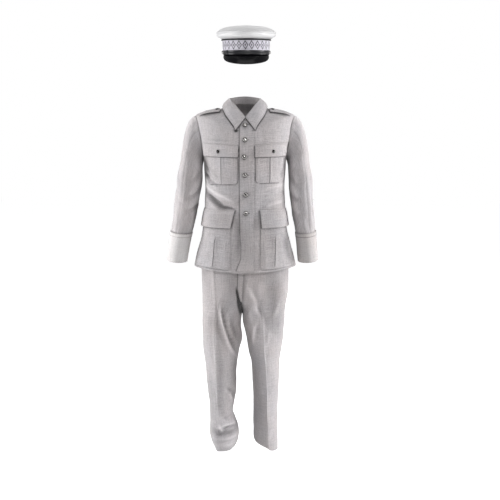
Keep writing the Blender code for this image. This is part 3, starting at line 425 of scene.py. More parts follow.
def buildShadeGroup():
    # slow drift of tone over a whole garment
    group = newGroup("toneDrift", [
        ("Colour", "NodeSocketColor", (1, 1, 1, 1)), ("Warm", "NodeSocketColor", (1, 0.95, 0.93, 1)),
        ("Cool", "NodeSocketColor", (0.94, 0.96, 1, 1)), ("Amount", "NodeSocketFloat", 0.5)],
        [("Colour", "NodeSocketColor")])
    start = group.nodes["Group Input"]
    end = group.nodes["Group Output"]
    link = group.links.new
    where = node(group, "ShaderNodeTexCoord")
    noise = node(group, "ShaderNodeTexNoise", Scale=5.0, Detail=3.0, Roughness=0.6)
    link(where.outputs["Object"], noise.inputs["Vector"])
    ramp = node(group, "ShaderNodeMapRange")
    ramp.inputs[1].default_value = 0.35
    ramp.inputs[2].default_value = 0.65
    link(noise.outputs["Fac"], ramp.inputs[0])
    tint = mixColour(group, ramp.outputs[0], start.outputs["Warm"], start.outputs["Cool"])
    times = node(group, "ShaderNodeMix", data_type="RGBA", blend_type="MULTIPLY")
    link(start.outputs["Amount"], times.inputs[0])
    link(start.outputs["Colour"], times.inputs[6])
    link(tint, times.inputs[7])
    link(times.outputs[2], end.inputs["Colour"])
    return group


weaveGroup = buildWeaveGroup()
shadeGroup = buildShadeGroup()


def baseMaterial(name, colour, roughness, metallic=0.0):
    # a plain finish
    made = bpy.data.materials.new(name)
    made.use_nodes = True
    shader = made.node_tree.nodes["Principled BSDF"]
    fill(shader, Base_Color=(*colour, 1), Roughness=roughness, Metallic=metallic)
    return made, made.node_tree, shader


def clothMaterial(name, light, dark, pitch, fleck, streak, roughness=0.9, sheen=0.25, bump=0.0006,
                  drift=0.5):
    # woven fibres drifting in tone, with painted shade where the mesh's "shade" is above nought and painted
    # light below it
    made, tree, shader = baseMaterial(name, light, roughness)
    link = tree.links.new
    fill(shader, Sheen_Weight=sheen, Sheen_Roughness=0.5, Specular_IOR_Level=0.25)
    uv = node(tree, "ShaderNodeUVMap", uv_map="cut")
    weave = node(tree, "ShaderNodeGroup", node_tree=weaveGroup, Light=(*light, 1), Dark=(*dark, 1),
                 Pitch=pitch, Fleck=fleck, Streak=streak)
    link(uv.outputs[0], weave.inputs["Vector"])
    shade = node(tree, "ShaderNodeGroup", node_tree=shadeGroup, Amount=drift)
    link(weave.outputs["Colour"], shade.inputs["Colour"])
    # the mesh's "shade" attribute is painted shade above nought, mixed towards a dark colour, and painted
    # light below nought, mixed towards a pale one
    edge = node(tree, "ShaderNodeAttribute", attribute_name="shade")
    paintedShadeColour = tuple(0.12 * value for value in dark) + (1,)
    paintedLightColour = tuple(min(1.55 * value, 0.9) for value in light) + (1,)
    ridge = calc(tree, "MAXIMUM", calc(tree, "MULTIPLY", edge.outputs["Fac"], -1.0), 0.0)
    trough = calc(tree, "MAXIMUM", edge.outputs["Fac"], 0.0)
    lit = mixColour(tree, ridge, shade.outputs["Colour"], paintedLightColour)
    link(mixColour(tree, trough, lit, paintedShadeColour), shader.inputs["Base Color"])
    raised = node(tree, "ShaderNodeBump", Strength=0.6, Distance=bump)
    link(weave.outputs["Relief"], raised.inputs["Height"])
    link(raised.outputs["Normal"], shader.inputs["Normal"])
    return made


def glossMaterial(name, colour, roughness, metallic=0.0, coat=0.0, grain=0.0, specular=0.5):
    # a smooth finish, with a fine grain where one is given
    made, tree, shader = baseMaterial(name, colour, roughness, metallic)
    link = tree.links.new
    fill(shader, Specular_IOR_Level=specular, Coat_Weight=coat, Coat_Roughness=0.06)
    if grain:
        where = node(tree, "ShaderNodeTexCoord")
        noise = node(tree, "ShaderNodeTexNoise", Scale=420.0, Detail=3.0, Roughness=0.6)
        link(where.outputs["Object"], noise.inputs["Vector"])
        raised = node(tree, "ShaderNodeBump", Strength=0.35, Distance=grain)
        link(noise.outputs["Fac"], raised.inputs["Height"])
        link(raised.outputs["Normal"], shader.inputs["Normal"])
    return made


looks = {
    "tunicCloth": clothMaterial("tunicCloth", (0.56, 0.535, 0.54), (0.16, 0.15, 0.16), 0.0011, 0.46, 0.65),
    "cuffCloth": clothMaterial("cuffCloth", (0.73, 0.695, 0.68), (0.27, 0.245, 0.245), 0.0011, 0.36, 0.5),
    "trouserCloth": clothMaterial("trouserCloth", (0.57, 0.54, 0.545), (0.16, 0.15, 0.155), 0.001, 0.44,
                                  0.55),
    "crownCloth": clothMaterial("crownCloth", (0.71, 0.71, 0.715), (0.55, 0.55, 0.57), 0.0006, 0.25, 0.1,
                                roughness=0.42, sheen=0.1, bump=0.0001, drift=0.1),
    "bandCloth": clothMaterial("bandCloth", (0.016, 0.016, 0.018), (0.006, 0.006, 0.007), 0.001, 0.5, 0.2),
    "thread": baseMaterial("thread", (0.4, 0.37, 0.365), 0.7)[0],
    "darkThread": baseMaterial("darkThread", (0.1, 0.09, 0.095), 0.8)[0],
    "strapPatent": glossMaterial("strapPatent", (0.012, 0.012, 0.015), 0.3, specular=0.55, grain=0.00008),
    "patent": glossMaterial("patent", (0.003, 0.003, 0.004), 0.15, specular=0.1, grain=0.00005),
    "piping": glossMaterial("piping", (0.004, 0.004, 0.005), 0.45, specular=0.2),
    "silver": glossMaterial("silver", (0.34, 0.33, 0.32), 0.1, 1.0),
    # a dark metal on the back, rim and groove of the front buttons: painted shade
    "silverRimPaintedShade": glossMaterial("silverRimPaintedShade", (0.05, 0.045, 0.045), 0.35, 1.0),
    "horn": glossMaterial("horn", (0.016, 0.013, 0.013), 0.22, coat=0.4),
}
print("materials made:", len(looks))


# Meshes from grids

# Painted shade and light: reach and strength of the painted shadow under laid edges, painted shade on rims
# and along borders, reach of the fold test, painted shade in a fold's trough and painted light on its ridge
shadeSettings = {"reach": 0.0036, "strength": 0.9, "rim": 0.8, "paintedBorderShade": 0.55, "cavityReach": 0.012,
                 "trough": 0.4, "ridge": 0.3}
laidEdges = []
clothGrids = []


def gridFaces(rows, columns, closed):
    # four-sided faces between neighbouring points; a closed grid's last column meets its first
    r, c = gridOf(np.arange(rows - 1), np.arange(columns if closed else columns - 1))
    nextC = (c + 1) % columns
    quads = [r * columns + c, r * columns + nextC, (r + 1) * columns + nextC, (r + 1) * columns + c]
    return np.stack(quads, -1).reshape(-1, 4)


def gridNormals(points, closed=False, flip=False):
    # along the columns crossed with along the rows points outwards, or the other way where flipped
    if closed:
        across = np.roll(points, -1, axis=1) - np.roll(points, 1, axis=1)
    else:
        across = np.gradient(points, axis=1)
    return unit(np.cross(across, np.gradient(points, axis=0))) * (-1 if flip else 1)


def newObject(name, vertices, faces, look):
    # a smooth mesh that rides on the part's root body
    mesh = bpy.data.meshes.new(name)
    mesh.from_pydata(np.asarray(vertices, float).reshape(-1, 3).tolist(), [], [list(f) for f in faces])
    mesh.polygons.foreach_set("use_smooth", [True] * len(mesh.polygons))
    made = bpy.data.objects.new(name, mesh)
    bpy.context.scene.collection.objects.link(made)
    if look:
        mesh.materials.append(looks[look])
    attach(made, "root")
    return made


def clothLengths(points, closed):
    # distance walked along each row and along each column, in metres, from the middle of the piece
    wide = np.concatenate([points, points[:, :1]], axis=1) if closed else points
    s = np.linalg.norm(np.diff(wide, axis=1), axis=2)
    s = np.concatenate([np.zeros((len(s), 1)), np.cumsum(s, axis=1)], axis=1)
    t = np.linalg.norm(np.diff(wide, axis=0), axis=2)
    t = np.concatenate([np.zeros((1, t.shape[1])), np.cumsum(t, axis=0)], axis=0)
    return s - s[:, s.shape[1] // 2][:, None], t


def cavity(points, normal, closed, reach):
    # how deep each point lies below the mean of the points around it, in metres: above nought in a fold's
    # trough, below it on a ridge
    rows, columns = points.shape[:2]
    r = np.arange(rows)[:, None]
    c = np.arange(columns)[None]
    stepRow = max(round(reach / (np.linalg.norm(np.diff(points, axis=0), axis=2).mean() + 1e-6)), 1)
    stepColumn = max(round(reach / (np.linalg.norm(np.diff(points, axis=1), axis=2).mean() + 1e-6)), 1)
    total = np.zeros_like(points)
    weight = np.zeros((rows, columns, 1))
    for dr, dc in ((0, 1), (0, -1), (1, 0), (-1, 0), (0.7, 0.7), (-0.7, -0.7), (0.7, -0.7), (-0.7, 0.7)):
        atRow = r + round(dr * stepRow)
        atColumn = c + round(dc * stepColumn)
        inside = (atRow >= 0) & (atRow < rows)
        if closed:
            atColumn = atColumn % columns
        else:
            inside = inside & (atColumn >= 0) & (atColumn < columns)
            mirrored = (2 * r - atRow >= 0) & (2 * r - atRow < rows) & (2 * c - atColumn >= 0)
            inside = inside & mirrored & (2 * c - atColumn < columns)
        picked = points[np.clip(atRow, 0, rows - 1), np.clip(atColumn, 0, columns - 1)]
        total += picked * inside[..., None]
        weight += inside[..., None]
    mean = np.where(weight > 0, total / np.maximum(weight, 1), points)
    return ((mean - points) * normal).sum(axis=2)


def shell(name, points, wall, look, closed=False, flip=False, paintedEdgeShade=(0.2, 0.2, 0.2, 0.2), tint=0.0):
    # a cloth panel with both faces and a rounded edge: the grid is the outer face, the inner face lies
    # one wall behind it along the normal, and a middle row stands proud half way round every free edge
    # each edge's strength (first, last, left, right) is painted shade along that edge and, where strong,
    # painted shadow on the pieces beneath; tint is the piece's own painted shade, painted light where it is
    # below nought
    rows, columns = points.shape[:2]
    normal = gridNormals(points, closed, flip)
    inner = points - normal * wall
    middle = (points + inner) / 2
    index = np.arange(rows * columns).reshape(rows, columns)
    lean = np.zeros_like(points)
    lean[0] += unit(points[0] - points[1])
    lean[-1] += unit(points[-1] - points[-2])
    if not closed:
        lean[:, 0] += unit(points[:, 0] - points[:, 1])
        lean[:, -1] += unit(points[:, -1] - points[:, -2])
    proud = middle + unit(lean) * wall * 0.42
    if closed:
        loops = [np.append(index[0], index[0, 0]), np.append(index[-1, ::-1], index[-1, -1])]
    else:
        loops = [np.concatenate([index[0], index[1:, -1], index[-1, -2::-1], index[-2::-1, 0]])]
    count = rows * columns
    outerFaces = gridFaces(rows, columns, closed)
    faces = [outerFaces, outerFaces[:, ::-1] + count]
    extra = []
    used = 2 * count
    for loop in loops:
        n = len(loop) - 1
        p, q = loop[:-1], loop[1:]
        mp = used + np.arange(n)
        mq = used + (np.arange(n) + 1) % n
        extra.append(proud.reshape(-1, 3)[loop[:-1]])
        faces += [np.stack([q, p, mp, mq], -1), np.stack([mq, mp, p + count, q + count], -1)]
        used += n
    faces = np.concatenate(faces)
    if flip:
        faces = faces[:, ::-1]
    vertices = np.concatenate([points.reshape(-1, 3), inner.reshape(-1, 3)] + extra)
    made = newObject(name, vertices, faces, look)
    s, t = clothLengths(points, closed)
    flat = np.stack([s[:, :columns], t[:, :columns]], -1).reshape(-1, 2)
    edge = np.concatenate([flat[loop[:-1]] for loop in loops])
    cut = np.concatenate([flat, flat, edge])
    corner = cut[faces.reshape(-1)]
    if closed:  # the last column of a tube meets the first, so its far corners take the full round length
        pick = faces.reshape(-1) % count % columns
        wraps = ((pick.reshape(-1, 4) == 0).any(1) & (pick.reshape(-1, 4) == columns - 1).any(1)).repeat(4)
        full = s[:, -1] - s[:, 0]
        inGrid = faces.reshape(-1) < 2 * count
        which = (faces.reshape(-1) % count) // columns
        corner[:, 0] += np.where(wraps & inGrid & (pick == 0), full[which], 0)
    layer = made.data.uv_layers.new(name="cut")
    layer.data.foreach_set("uv", corner.reshape(-1))
    paintedBorderShade = np.zeros((rows, columns))
    if not closed:
        paintedBorderShade[:, 0] = paintedEdgeShade[2]
        paintedBorderShade[:, -1] = paintedEdgeShade[3]
    paintedBorderShade[0] = paintedEdgeShade[0]
    paintedBorderShade[-1] = paintedEdgeShade[1]
    strength = np.concatenate([paintedBorderShade.reshape(-1)[loop[:-1]] for loop in loops])
    # painted shade in the troughs of folds and painted light on their ridges, on thick cloth only, then
    # painted shade along the borders and on the proud rim row
    deep = cavity(points, normal, closed, shadeSettings["cavityReach"])
    fold = shadeSettings["trough"] * soft(deep, 0.0002, 0.0046)
    fold = fold - shadeSettings["ridge"] * soft(-deep, 0.001, 0.004)
    facePaintedShade = np.clip(fold * (wall > 0.0014) + tint, -0.6, 0.95)
    facePaintedShade = np.where(paintedBorderShade > 0, np.maximum(paintedBorderShade * shadeSettings["paintedBorderShade"], facePaintedShade), facePaintedShade)
    own = np.concatenate([facePaintedShade.reshape(-1)] * 2 + [strength * shadeSettings["rim"]])
    clothGrids.append({"mesh": made.data, "points": points, "normal": normal, "own": own})
    # edges whose strength is above 0.3 paint shadow on the pieces that lie beneath them
    cast = strength > 0.3
    if cast.any():
        outline = np.concatenate([points.reshape(-1, 3)[loop[:-1]] for loop in loops])
        laidEdges.append({"mesh": made.data, "strength": strength[cast], "points": outline[cast]})
    return made


def shadeUnderEdges():
    # painted shadow: the cloth is painted darker next to whatever lies on it, as a bell of the distance to
    # the nearest edge of another piece that stands above the cloth there
    for grid in clothGrids:
        flat = grid["points"].reshape(-1, 3)
        facing = grid["normal"].reshape(-1, 3)
        shade = np.zeros(len(flat))
        for edge in laidEdges:
            if edge["mesh"] == grid["mesh"]:
                continue
            low = edge["points"].min(axis=0) - 0.012
            high = edge["points"].max(axis=0) + 0.012
            near = np.nonzero(((flat > low) & (flat < high)).all(axis=1))[0]
            for part in np.array_split(near, max(len(near) // 3000, 1)):
                if not len(part):
                    continue
                gap = edge["points"][None] - flat[part][:, None]
                above = (gap * facing[part][:, None]).sum(axis=2)
                beside = (gap ** 2).sum(axis=2) - above ** 2
                fall = np.exp(-beside / shadeSettings["reach"] ** 2) * (above > 0.0002) * (above < 0.018)
                shade[part] = np.maximum(shade[part], (fall * edge["strength"]).max(axis=1))
        own = grid["own"].copy()
        cast = shade * shadeSettings["strength"]
        own[:len(flat)] = np.where(cast > 0.04, np.maximum(own[:len(flat)], cast), own[:len(flat)])
        layer = grid["mesh"].attributes.new("shade", "FLOAT", "POINT")
        layer.data.foreach_set("value", own)


def declare(made, cut, nodes, closed=False):
    # the flat cut is the panel without its creases: its widest row, its longest column and its own area
    s, t = clothLengths(cut, closed)
    wide = float((s[:, -1] - s[:, 0]).max())
    long = float((t[-1] - t[0]).max())
    across = np.diff(np.concatenate([cut, cut[:, :1]], axis=1) if closed else cut, axis=1)[:-1]
    down = np.diff(cut, axis=0)[:, :across.shape[1]]
    area = float(np.linalg.norm(np.cross(across, down), axis=2).sum())
    area = min(area, wide * long)
    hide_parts(*nodes)
    print(f"  {made.name}: cut {wide * 100:.1f} x {long * 100:.1f} cm, {area * 1e4:.0f} cm2, "
          f"{len(made.data.polygons)} faces")


# Stitching: rows are noted while the pieces are made, and built at the end

threadSettings = {"pitch": 0.004, "length": 0.72, "thick": 0.00042, "lift": 0.00012}
stitchRuns = {"thread": [], "darkThread": []}


def insetRun(points, edge, inset, trim=0.0, flip=False):
    # the run of points a set distance inside one edge of a grid, with the outward normals there
    normal = gridNormals(points, flip=flip)
    both = np.concatenate([points, normal], axis=2)
    if edge in ("first", "last"):
        both = both.transpose(1, 0, 2)
    if edge in ("right", "last"):
        both = both[:, ::-1]
    step = np.linalg.norm(np.diff(both[..., :3], axis=1), axis=2)
    reach = np.concatenate([np.zeros((len(step), 1)), np.cumsum(step, axis=1)], axis=1)
    k = np.clip((reach < inset).sum(axis=1), 1, reach.shape[1] - 1)
    row = np.arange(len(reach))
    t = (inset - reach[row, k - 1]) / (reach[row, k] - reach[row, k - 1])
    run = both[row, k - 1] + (both[row, k] - both[row, k - 1]) * t[:, None]
    length = walked(run[:, :3])
    keep = (length >= trim) & (length <= length[-1] - trim)
    return run[keep]


def sew(run, look="thread"):
    # notes a row of stitches
    stitchRuns[look].append(run)


def buildStitches(name, runs, look):
    # each stitch is a thin spindle: a point, a ring of four in the middle, a point
    starts, ends, ups = [], [], []
    for run in runs:
        length = walked(run[:, :3])
        count = max(int(length[-1] / threadSettings["pitch"]), 1)
        base = (np.arange(count) + 0.14) * length[-1] / count
        tip = base + threadSettings["length"] * length[-1] / count
        for store, at in ((starts, base), (ends, tip)):
            store.append(np.stack([np.interp(at, length, run[:, k]) for k in range(3)], -1))
        ups.append(unit(np.stack([np.interp(base, length, run[:, k]) for k in range(3, 6)], -1)))
    a, b, up = (np.concatenate(x) for x in (starts, ends, ups))
    side = unit(np.cross(b - a, up)) * threadSettings["thick"]
    rise = up * threadSettings["thick"]
    lift = up * threadSettings["lift"]
    middle = (a + b) / 2 + lift
    a = a - lift
    b = b - lift
    corners = np.stack([a, middle + side, middle + rise, middle - side, middle - rise, b], 1)
    n = len(a)
    pattern = np.array([[0, 1, 2], [0, 2, 3], [0, 3, 4], [0, 4, 1],
                        [5, 2, 1], [5, 3, 2], [5, 4, 3], [5, 1, 4]])
    faces = (pattern[None] + 6 * np.arange(n)[:, None, None]).reshape(-1, 3)
    made = newObject(name, corners.reshape(-1, 3), faces, look)
    print(f"  {name}: {n} stitches")


# Fronts, back and front band


def overlapEdge(level):
    # x of the left front's edge: a little nearer the centre below the waist, further out again at the hem
    return -0.0215 + 0.005 * soft(level, 4, 1.8) - 0.02 * soft(level, 1.4, 0)


def leftOut(turn, level):
    # the left front lies over the right one, so it stands off the body near the centre
    x = torsoSmooth(turn, level)[..., 0]
    return tunic["frontRise"] * (1 - soft(x, 0.045, 0.08))


def panelEdge(level, side):
    # outer edge of a front or back panel: side seam, armhole, then shoulder seam
    low = tunic["armholeMiddle"] - tunic["armholeReach"]
    high = tunic["armholeMiddle"] + tunic["armholeReach"]
    edge = np.where(level < tunic["armholeMiddle"], tunic["sideSeamTurn"], 0.0)
    edge = np.where((level >= low) & (level <= high), armholeTurn(level, side), edge)
    radius = np.linalg.norm(torsoSmooth(edge, level)[..., :2], axis=-1)
    return edge + (1 if side == "front" else -1) * np.degrees(tunic["seamGap"] / radius)


def seamDip(u, width, depth=0.0011, span=0.0035, ends=(True, True)):
    # cloth rolls in towards a sewn seam
    dip = np.zeros(np.broadcast(u, width).shape)
    if ends[0]:
        dip = dip - depth * bell(u * width, span)
    if ends[1]:
        dip = dip - depth * bell((1 - u) * width, span)
    return dip


armLevels = tunic["armholeMiddle"] + tunic["armholeReach"] * np.cos(np.radians(np.linspace(180, 0, 61)))
bodyLevels = np.concatenate([np.linspace(0, 0.3, 5)[:-1], np.linspace(0.3, 10, 108)[:-1], armLevels,
                             np.linspace(14, 18, 42)[1:]])

# Front buttons
buttonRows = table("x height radius rise", [
    (0.001, 1.488, 0.01, 0.0055),
    (0.001, 1.428, 0.0105, 0.0055),
    (-0.002, 1.358, 0.0105, 0.0055),
    (0.001, 1.283, 0.0105, 0.0055),
    (0.0045, 1.199, 0.0105, 0.0055),
    (0.0045, 1.12, 0.0105, 0.0055),
])

# Soft painted shade and painted light on the front of the tunic
tunicShades = shadeTable([
    (-186, 1200, -62, 1136, 16, -6, 0.24),
    (-182, 1252, -36, 1168, 11, -8, -0.24),
    (-130, 1142, -50, 1138, 8, 0, 0.24),
    (-10, 1090, -4, 900, 40, 0, 0.2),
    (-26, 1110, -26, 930, 10, 0, 0.3),
    (176, 1040, 205, 890, 12, -6, 0.46),
    (-160, 1096, -60, 1096, 30, 0, 0.15),
    (-110, 1110, -130, 900, 30, 0, 0.12),
    (100, 1230, 130, 900, 44, 0, 0.24),
    (-170, 1430, -40, 1424, 4, 0, 0.16),
    (60, 1470, 130, 1260, 50, 0, 0.1),
    (-160, 1330, -110, 1262, 7, -4, 0.18),
    (-41.5, 1133, -58, 1058.5, 3, 0, 0.7),
    (62.5, 1126.5, 70, 1056, 2.4, 0, 0.8),
    (-44, 1474, -36.2, 1458, 5, 0, 0.9),
    (-35, 1460, -29, 1472, 4.2, 0, 0.8),
    (30, 1464, 42, 1474, 4, 0, 0.5),
    (-170, 1360, -160, 1240, 10, 0, 0.7),
    (185, 1360, 188, 1265, 11, 0, 0.6),
    (-190, 1527, -94, 1544, 4.2, 0, 0.6),
    (112, 1544, 190, 1527, 4.2, 0, 0.6),
])


def paintedPanelShade(turn, points):
    # painted shade under the arms, where less light reaches the cloth, plus the tunic's painted shade and
    # light
    away = abs(turn - tunic["sideSeamTurn"])
    height = points[..., 2] + originHeight
    underArmShade = 0.5 * bell(away, 13) * soft(height, 1.08, 1.28) * soft(-height, -1.48, -1.36)
    return underArmShade + paintedShadeFrom(tunicShades, points)


def buildTunicBody():
    # at each level the share u runs from a panel's front edge, or one side of the back, to its other edge
    level, u = gridOf(bodyLevels, spaced(84, 0.86))
    start = turnAtX(overlapEdge(level), level)
    turn = start + (panelEdge(level, "front") - start) * u
    out = leftOut(turn, level) + seamDip(u, 0.22, ends=(False, True))
    left = torsoPoint(turn, level, out)
    # the panels carry painted shade under the arms and the tunic's painted shade and light
    made = shell("frontLeftPanel", left, tunic["wall"], "tunicCloth", tint=paintedPanelShade(turn, left))
    declare(made, torsoSmooth(turn, level), ["tunic_front_left"])
    start = turnAtX(-tunic["overlapEnd"], level)
    turn = 180 - (start + (panelEdge(level, "front") - start) * u)
    right = torsoPoint(turn, level, seamDip(u, 0.24, ends=(False, True)))
    made = shell("frontRightPanel", right, tunic["wall"], "tunicCloth", flip=True,
                 tint=paintedPanelShade(180 - turn, right))
    declare(made, torsoSmooth(turn, level), ["tunic_front_right"])
    level, u = gridOf(bodyLevels, spaced(106, 0.86))
    edge = panelEdge(level, "back")
    turn = edge + (-180 - edge - edge) * u
    back = torsoPoint(turn, level, seamDip(u, 0.5))
    made = shell("backPanel", back, tunic["wall"], "tunicCloth")
    declare(made, torsoSmooth(turn, level), ["tunic_back"])
    for points, flip in ((left, False), (right, True), (back, False)):
        sew(insetRun(points, "first", tunic["hemStitch"], 0.004, flip))
    # front band: the strip that carries the buttons, stitched down both sides
    rows = np.unique(np.minimum(bodyLevels[2:-1], tunic["neckLevel"] - 0.2))
    level, across = gridOf(rows, spaced(26, 0.6))
    low = overlapEdge(level) + tunic["bandInset"]
    turn = turnAtX(low + (tunic["bandInner"] - low) * across, level)
    out = tunic["frontRise"] + tunic["layerGap"] + tunic["bandWall"]
    out = out + 0.0005 * soft(abs(across - 0.5), 0.5, 0.4) * soft(abs(across - 0.5), 0.2, 0.4)
    band = torsoPoint(turn, level, out)
    # each button's painted shadow on the band, below it and towards the wearer's right
    right, down = tunic["buttonShadeShift"]
    away = [np.hypot(band[..., 0] - x + right, band[..., 2] + originHeight - height + down)
            for x, height in zip(buttonRows["x"], buttonRows["height"])]
    thrown = bell(np.array(away), tunic["buttonShadeReach"]).sum(axis=0)
    made = shell("frontBand", band, tunic["bandWall"], "tunicCloth", paintedEdgeShade=(0.2, 0.2, 1.0, 0.35),
                 tint=paintedShadeFrom(tunicShades, band) + tunic["buttonShade"] * thrown)
    declare(made, torsoSmooth(turn, level), ["front_band"])
    sew(insetRun(band, "left", 0.0055))
    sew(insetRun(band, "right", 0.0022), "darkThread")


# Sleeves: rings of the arm from the head down to the wrist

sleeveRows = table("height leftX leftHalf rightX rightHalf y depth", [
    (1.31, 0.237, 0.048, -0.235, 0.051, 0.004, 0.069),
    (1.255, 0.243, 0.051, -0.2425, 0.0555, 0.008, 0.068),
    (1.2, 0.246, 0.052, -0.25, 0.0545, 0.01, 0.065),
    (1.145, 0.253, 0.0495, -0.2605, 0.0525, 0.009, 0.062),
    (1.1, 0.258, 0.048, -0.266, 0.0515, 0.006, 0.06),
    (1.055, 0.264, 0.045, -0.274, 0.049, 0, 0.058),
    (1.01, 0.269, 0.0425, -0.284, 0.045, -0.008, 0.055),
    (0.965, 0.273, 0.04, -0.2915, 0.0425, -0.018, 0.053),
    (0.9, 0.2775, 0.0385, -0.3, 0.0405, -0.033, 0.051),
])

# Creases of the sleeves: millimetres round the arm (0 outer, 90 front, 180 inner) instead of x, and height
sleeveCreases = {}
sleeveCreases["right"] = creaseTable([
    (40, 1400, 120, 1320, 10, 6, -2.6),
    (70, 1420, 60, 1230, 13, -6, 3),
    (95, 1330, 88, 1120, 12, 6, -3.2),
    (150, 1290, 95, 1235, 9, 4, -3.4),
    (155, 1250, 100, 1190, 10, 4, 3),
    (160, 1215, 90, 1165, 9, 3, -3.6),
    (165, 1180, 110, 1130, 9, 4, 3),
    (158, 1150, 92, 1108, 9, 2, -3),
    (30, 1190, 85, 1150, 10, -4, -1.8),
    (60, 1110, 55, 1035, 12, 4, 2.2),
    (130, 1120, 118, 1035, 10, -4, -2.6),
    (-60, 1300, -50, 1080, 14, 8, -2.8),
    (-20, 1240, 30, 1200, 11, 4, -1.8),
    (230, 1230, 180, 1170, 11, 4, -3),
    (228, 1180, 184, 1130, 10, 4, 2.6),
])
sleeveCreases["left"] = creaseTable([
    (50, 1410, 120, 1330, 10, 5, -2.4),
    (66, 1300, 52, 1060, 11, -8, 3.8),
    (44, 1230, 34, 1050, 9, -5, -3.6),
    (92, 1310, 100, 1090, 12, 8, -2.8),
    (155, 1270, 95, 1210, 10, 4, -2.8),
    (158, 1235, 104, 1180, 9, 4, 2.6),
    (160, 1195, 98, 1150, 9, 3, -2.8),
    (160, 1150, 110, 1110, 9, 3, 2.2),
    (20, 1150, 60, 1090, 10, -3, -1.8),
    (75, 1100, 70, 1032, 10, 4, -2.4),
    (-50, 1320, -60, 1100, 14, -8, -2.8),
    (-10, 1300, 20, 1180, 12, 6, 1.8),
    (228, 1240, 184, 1190, 10, 4, -2.8),
    (232, 1190, 190, 1140, 10, 3, 2.4),
])

sleeve = {
    "seams": (67.5, 225.0), "seamGap": 0.3, "headStand": 0.0006, "headTop": 1.31, "bottom": 0.905,
    "cuffTop": 1.026, "cuffBottom": 0.903, "cuffOut": 0.0035, "cuffFlare": 0.001, "ringLean": 0.1,
    "forearmLean": 0.06, "ripple": 0.0011, "creaseGain": 1.4, "seed": {"left": 11, "right": 17},
    # the last entry on the next line is painted shade on the whole left cuff and painted light on the whole
    # right one
    "cuffSeed": {"left": 23, "right": 29}, "cuffPaintedShade": {"left": 0.18, "right": -0.24},
    # painted shade in the crook of the arm: height, reach and strength; painted light on the forearm
    "crook": {"left": (1.075, 0.045, 0.3), "right": (1.11, 0.06, 0.6)},
    "forearmLight": {"left": 0, "right": 0.12},
}


def sleeveRing(side, height, angle, out=0.0):
    # angle 0 outer, 90 front, 180 inner, 270 back; the lower rings lean with the forearm
    row = along(sleeveRows, "height", height)
    sign = 1 if side == "left" else -1
    c, s = circle(angle)
    x = row[side + "X"] + sign * (row[side + "Half"] + out) * c
    y = row["y"] - (row["depth"] + out) * s
    lean = sleeve["forearmLean"] * soft(height, 1.3, 1.1) * row["depth"] * s
    return place(x, y, height - lean + sleeve["ringLean"] * row[side + "Half"] * c)


def armholeLoop(side, angle):
    # the armhole as a closed loop, 0 at the shoulder point, 90 in front
    c, s = circle(angle)
    level = tunic["armholeMiddle"] + tunic["armholeReach"] * c
    turn = tunic["sideSeamTurn"] * (1 - c) / 2 + tunic["armholeReachTurn"] * s
    sign = 1 if side == "left" else -1
    points = torsoSmooth(turn if side == "left" else 180 - turn, level)
    high = (1 + c) / 2
    lead = unit(np.stack([sign * (0.42 + 0.58 * high), np.zeros_like(c), -1.0 + 0.78 * high], -1))
    return points, lead


def sleeveGrid(side, angle, heads=34, arms=92):
    # the sleeve head blends smoothly from the armhole to the first ring of the arm, then rings follow down;
    # the creases push every row out along the ring's own normal
    loop, lead = armholeLoop(side, angle)
    first = sleeveRing(side, np.full_like(angle, sleeve["headTop"]), angle)
    second = sleeveRing(side, np.full_like(angle, sleeve["headTop"] - 0.01), angle)
    down = unit(second - first)
    loop = loop + lead * sleeve["headStand"]
    chord = np.linalg.norm(first - loop, axis=-1, keepdims=True)
    t = (np.linspace(0, 1, heads) ** 1.25)[:, None, None]
    spring = (1.05 - 0.34 * soft(np.cos(np.radians(angle)), 0.1, 0.9))[:, None]
    head = (1 + 2 * t) * (1 - t) ** 2 * loop + t * (1 - t) ** 2 * chord * spring * lead
    head = head + t * t * (3 - 2 * t) * first + t * t * (t - 1) * chord * down
    heights, angles = gridOf(np.linspace(sleeve["headTop"], sleeve["bottom"], arms)[1:], angle)
    smooth = np.concatenate([head, sleeveRing(side, heights, angles)])
    normal = gridNormals(smooth, flip=side == "right")
    height = smooth[..., 2] + originHeight
    girth = np.radians((np.broadcast_to(angle, height.shape) + 90) % 360 - 90) * 0.058
    fold = creases(girth, height, sleeveCreases[side], 1.35) * sleeve["creaseGain"]
    fold = fold + ripple(girth, height, sleeve["seed"][side], sleeve["ripple"])
    fold = fold * soft(np.linspace(0, 1, len(smooth)), 0.02, 0.16)[:, None] * soft(height, 1.0, 1.05)
    roll = 0.0013 * bell(np.arange(len(smooth)) - 2.5, 2.2)[:, None]  # fulness at the head
    return smooth, smooth + normal * (fold + roll)[..., None]


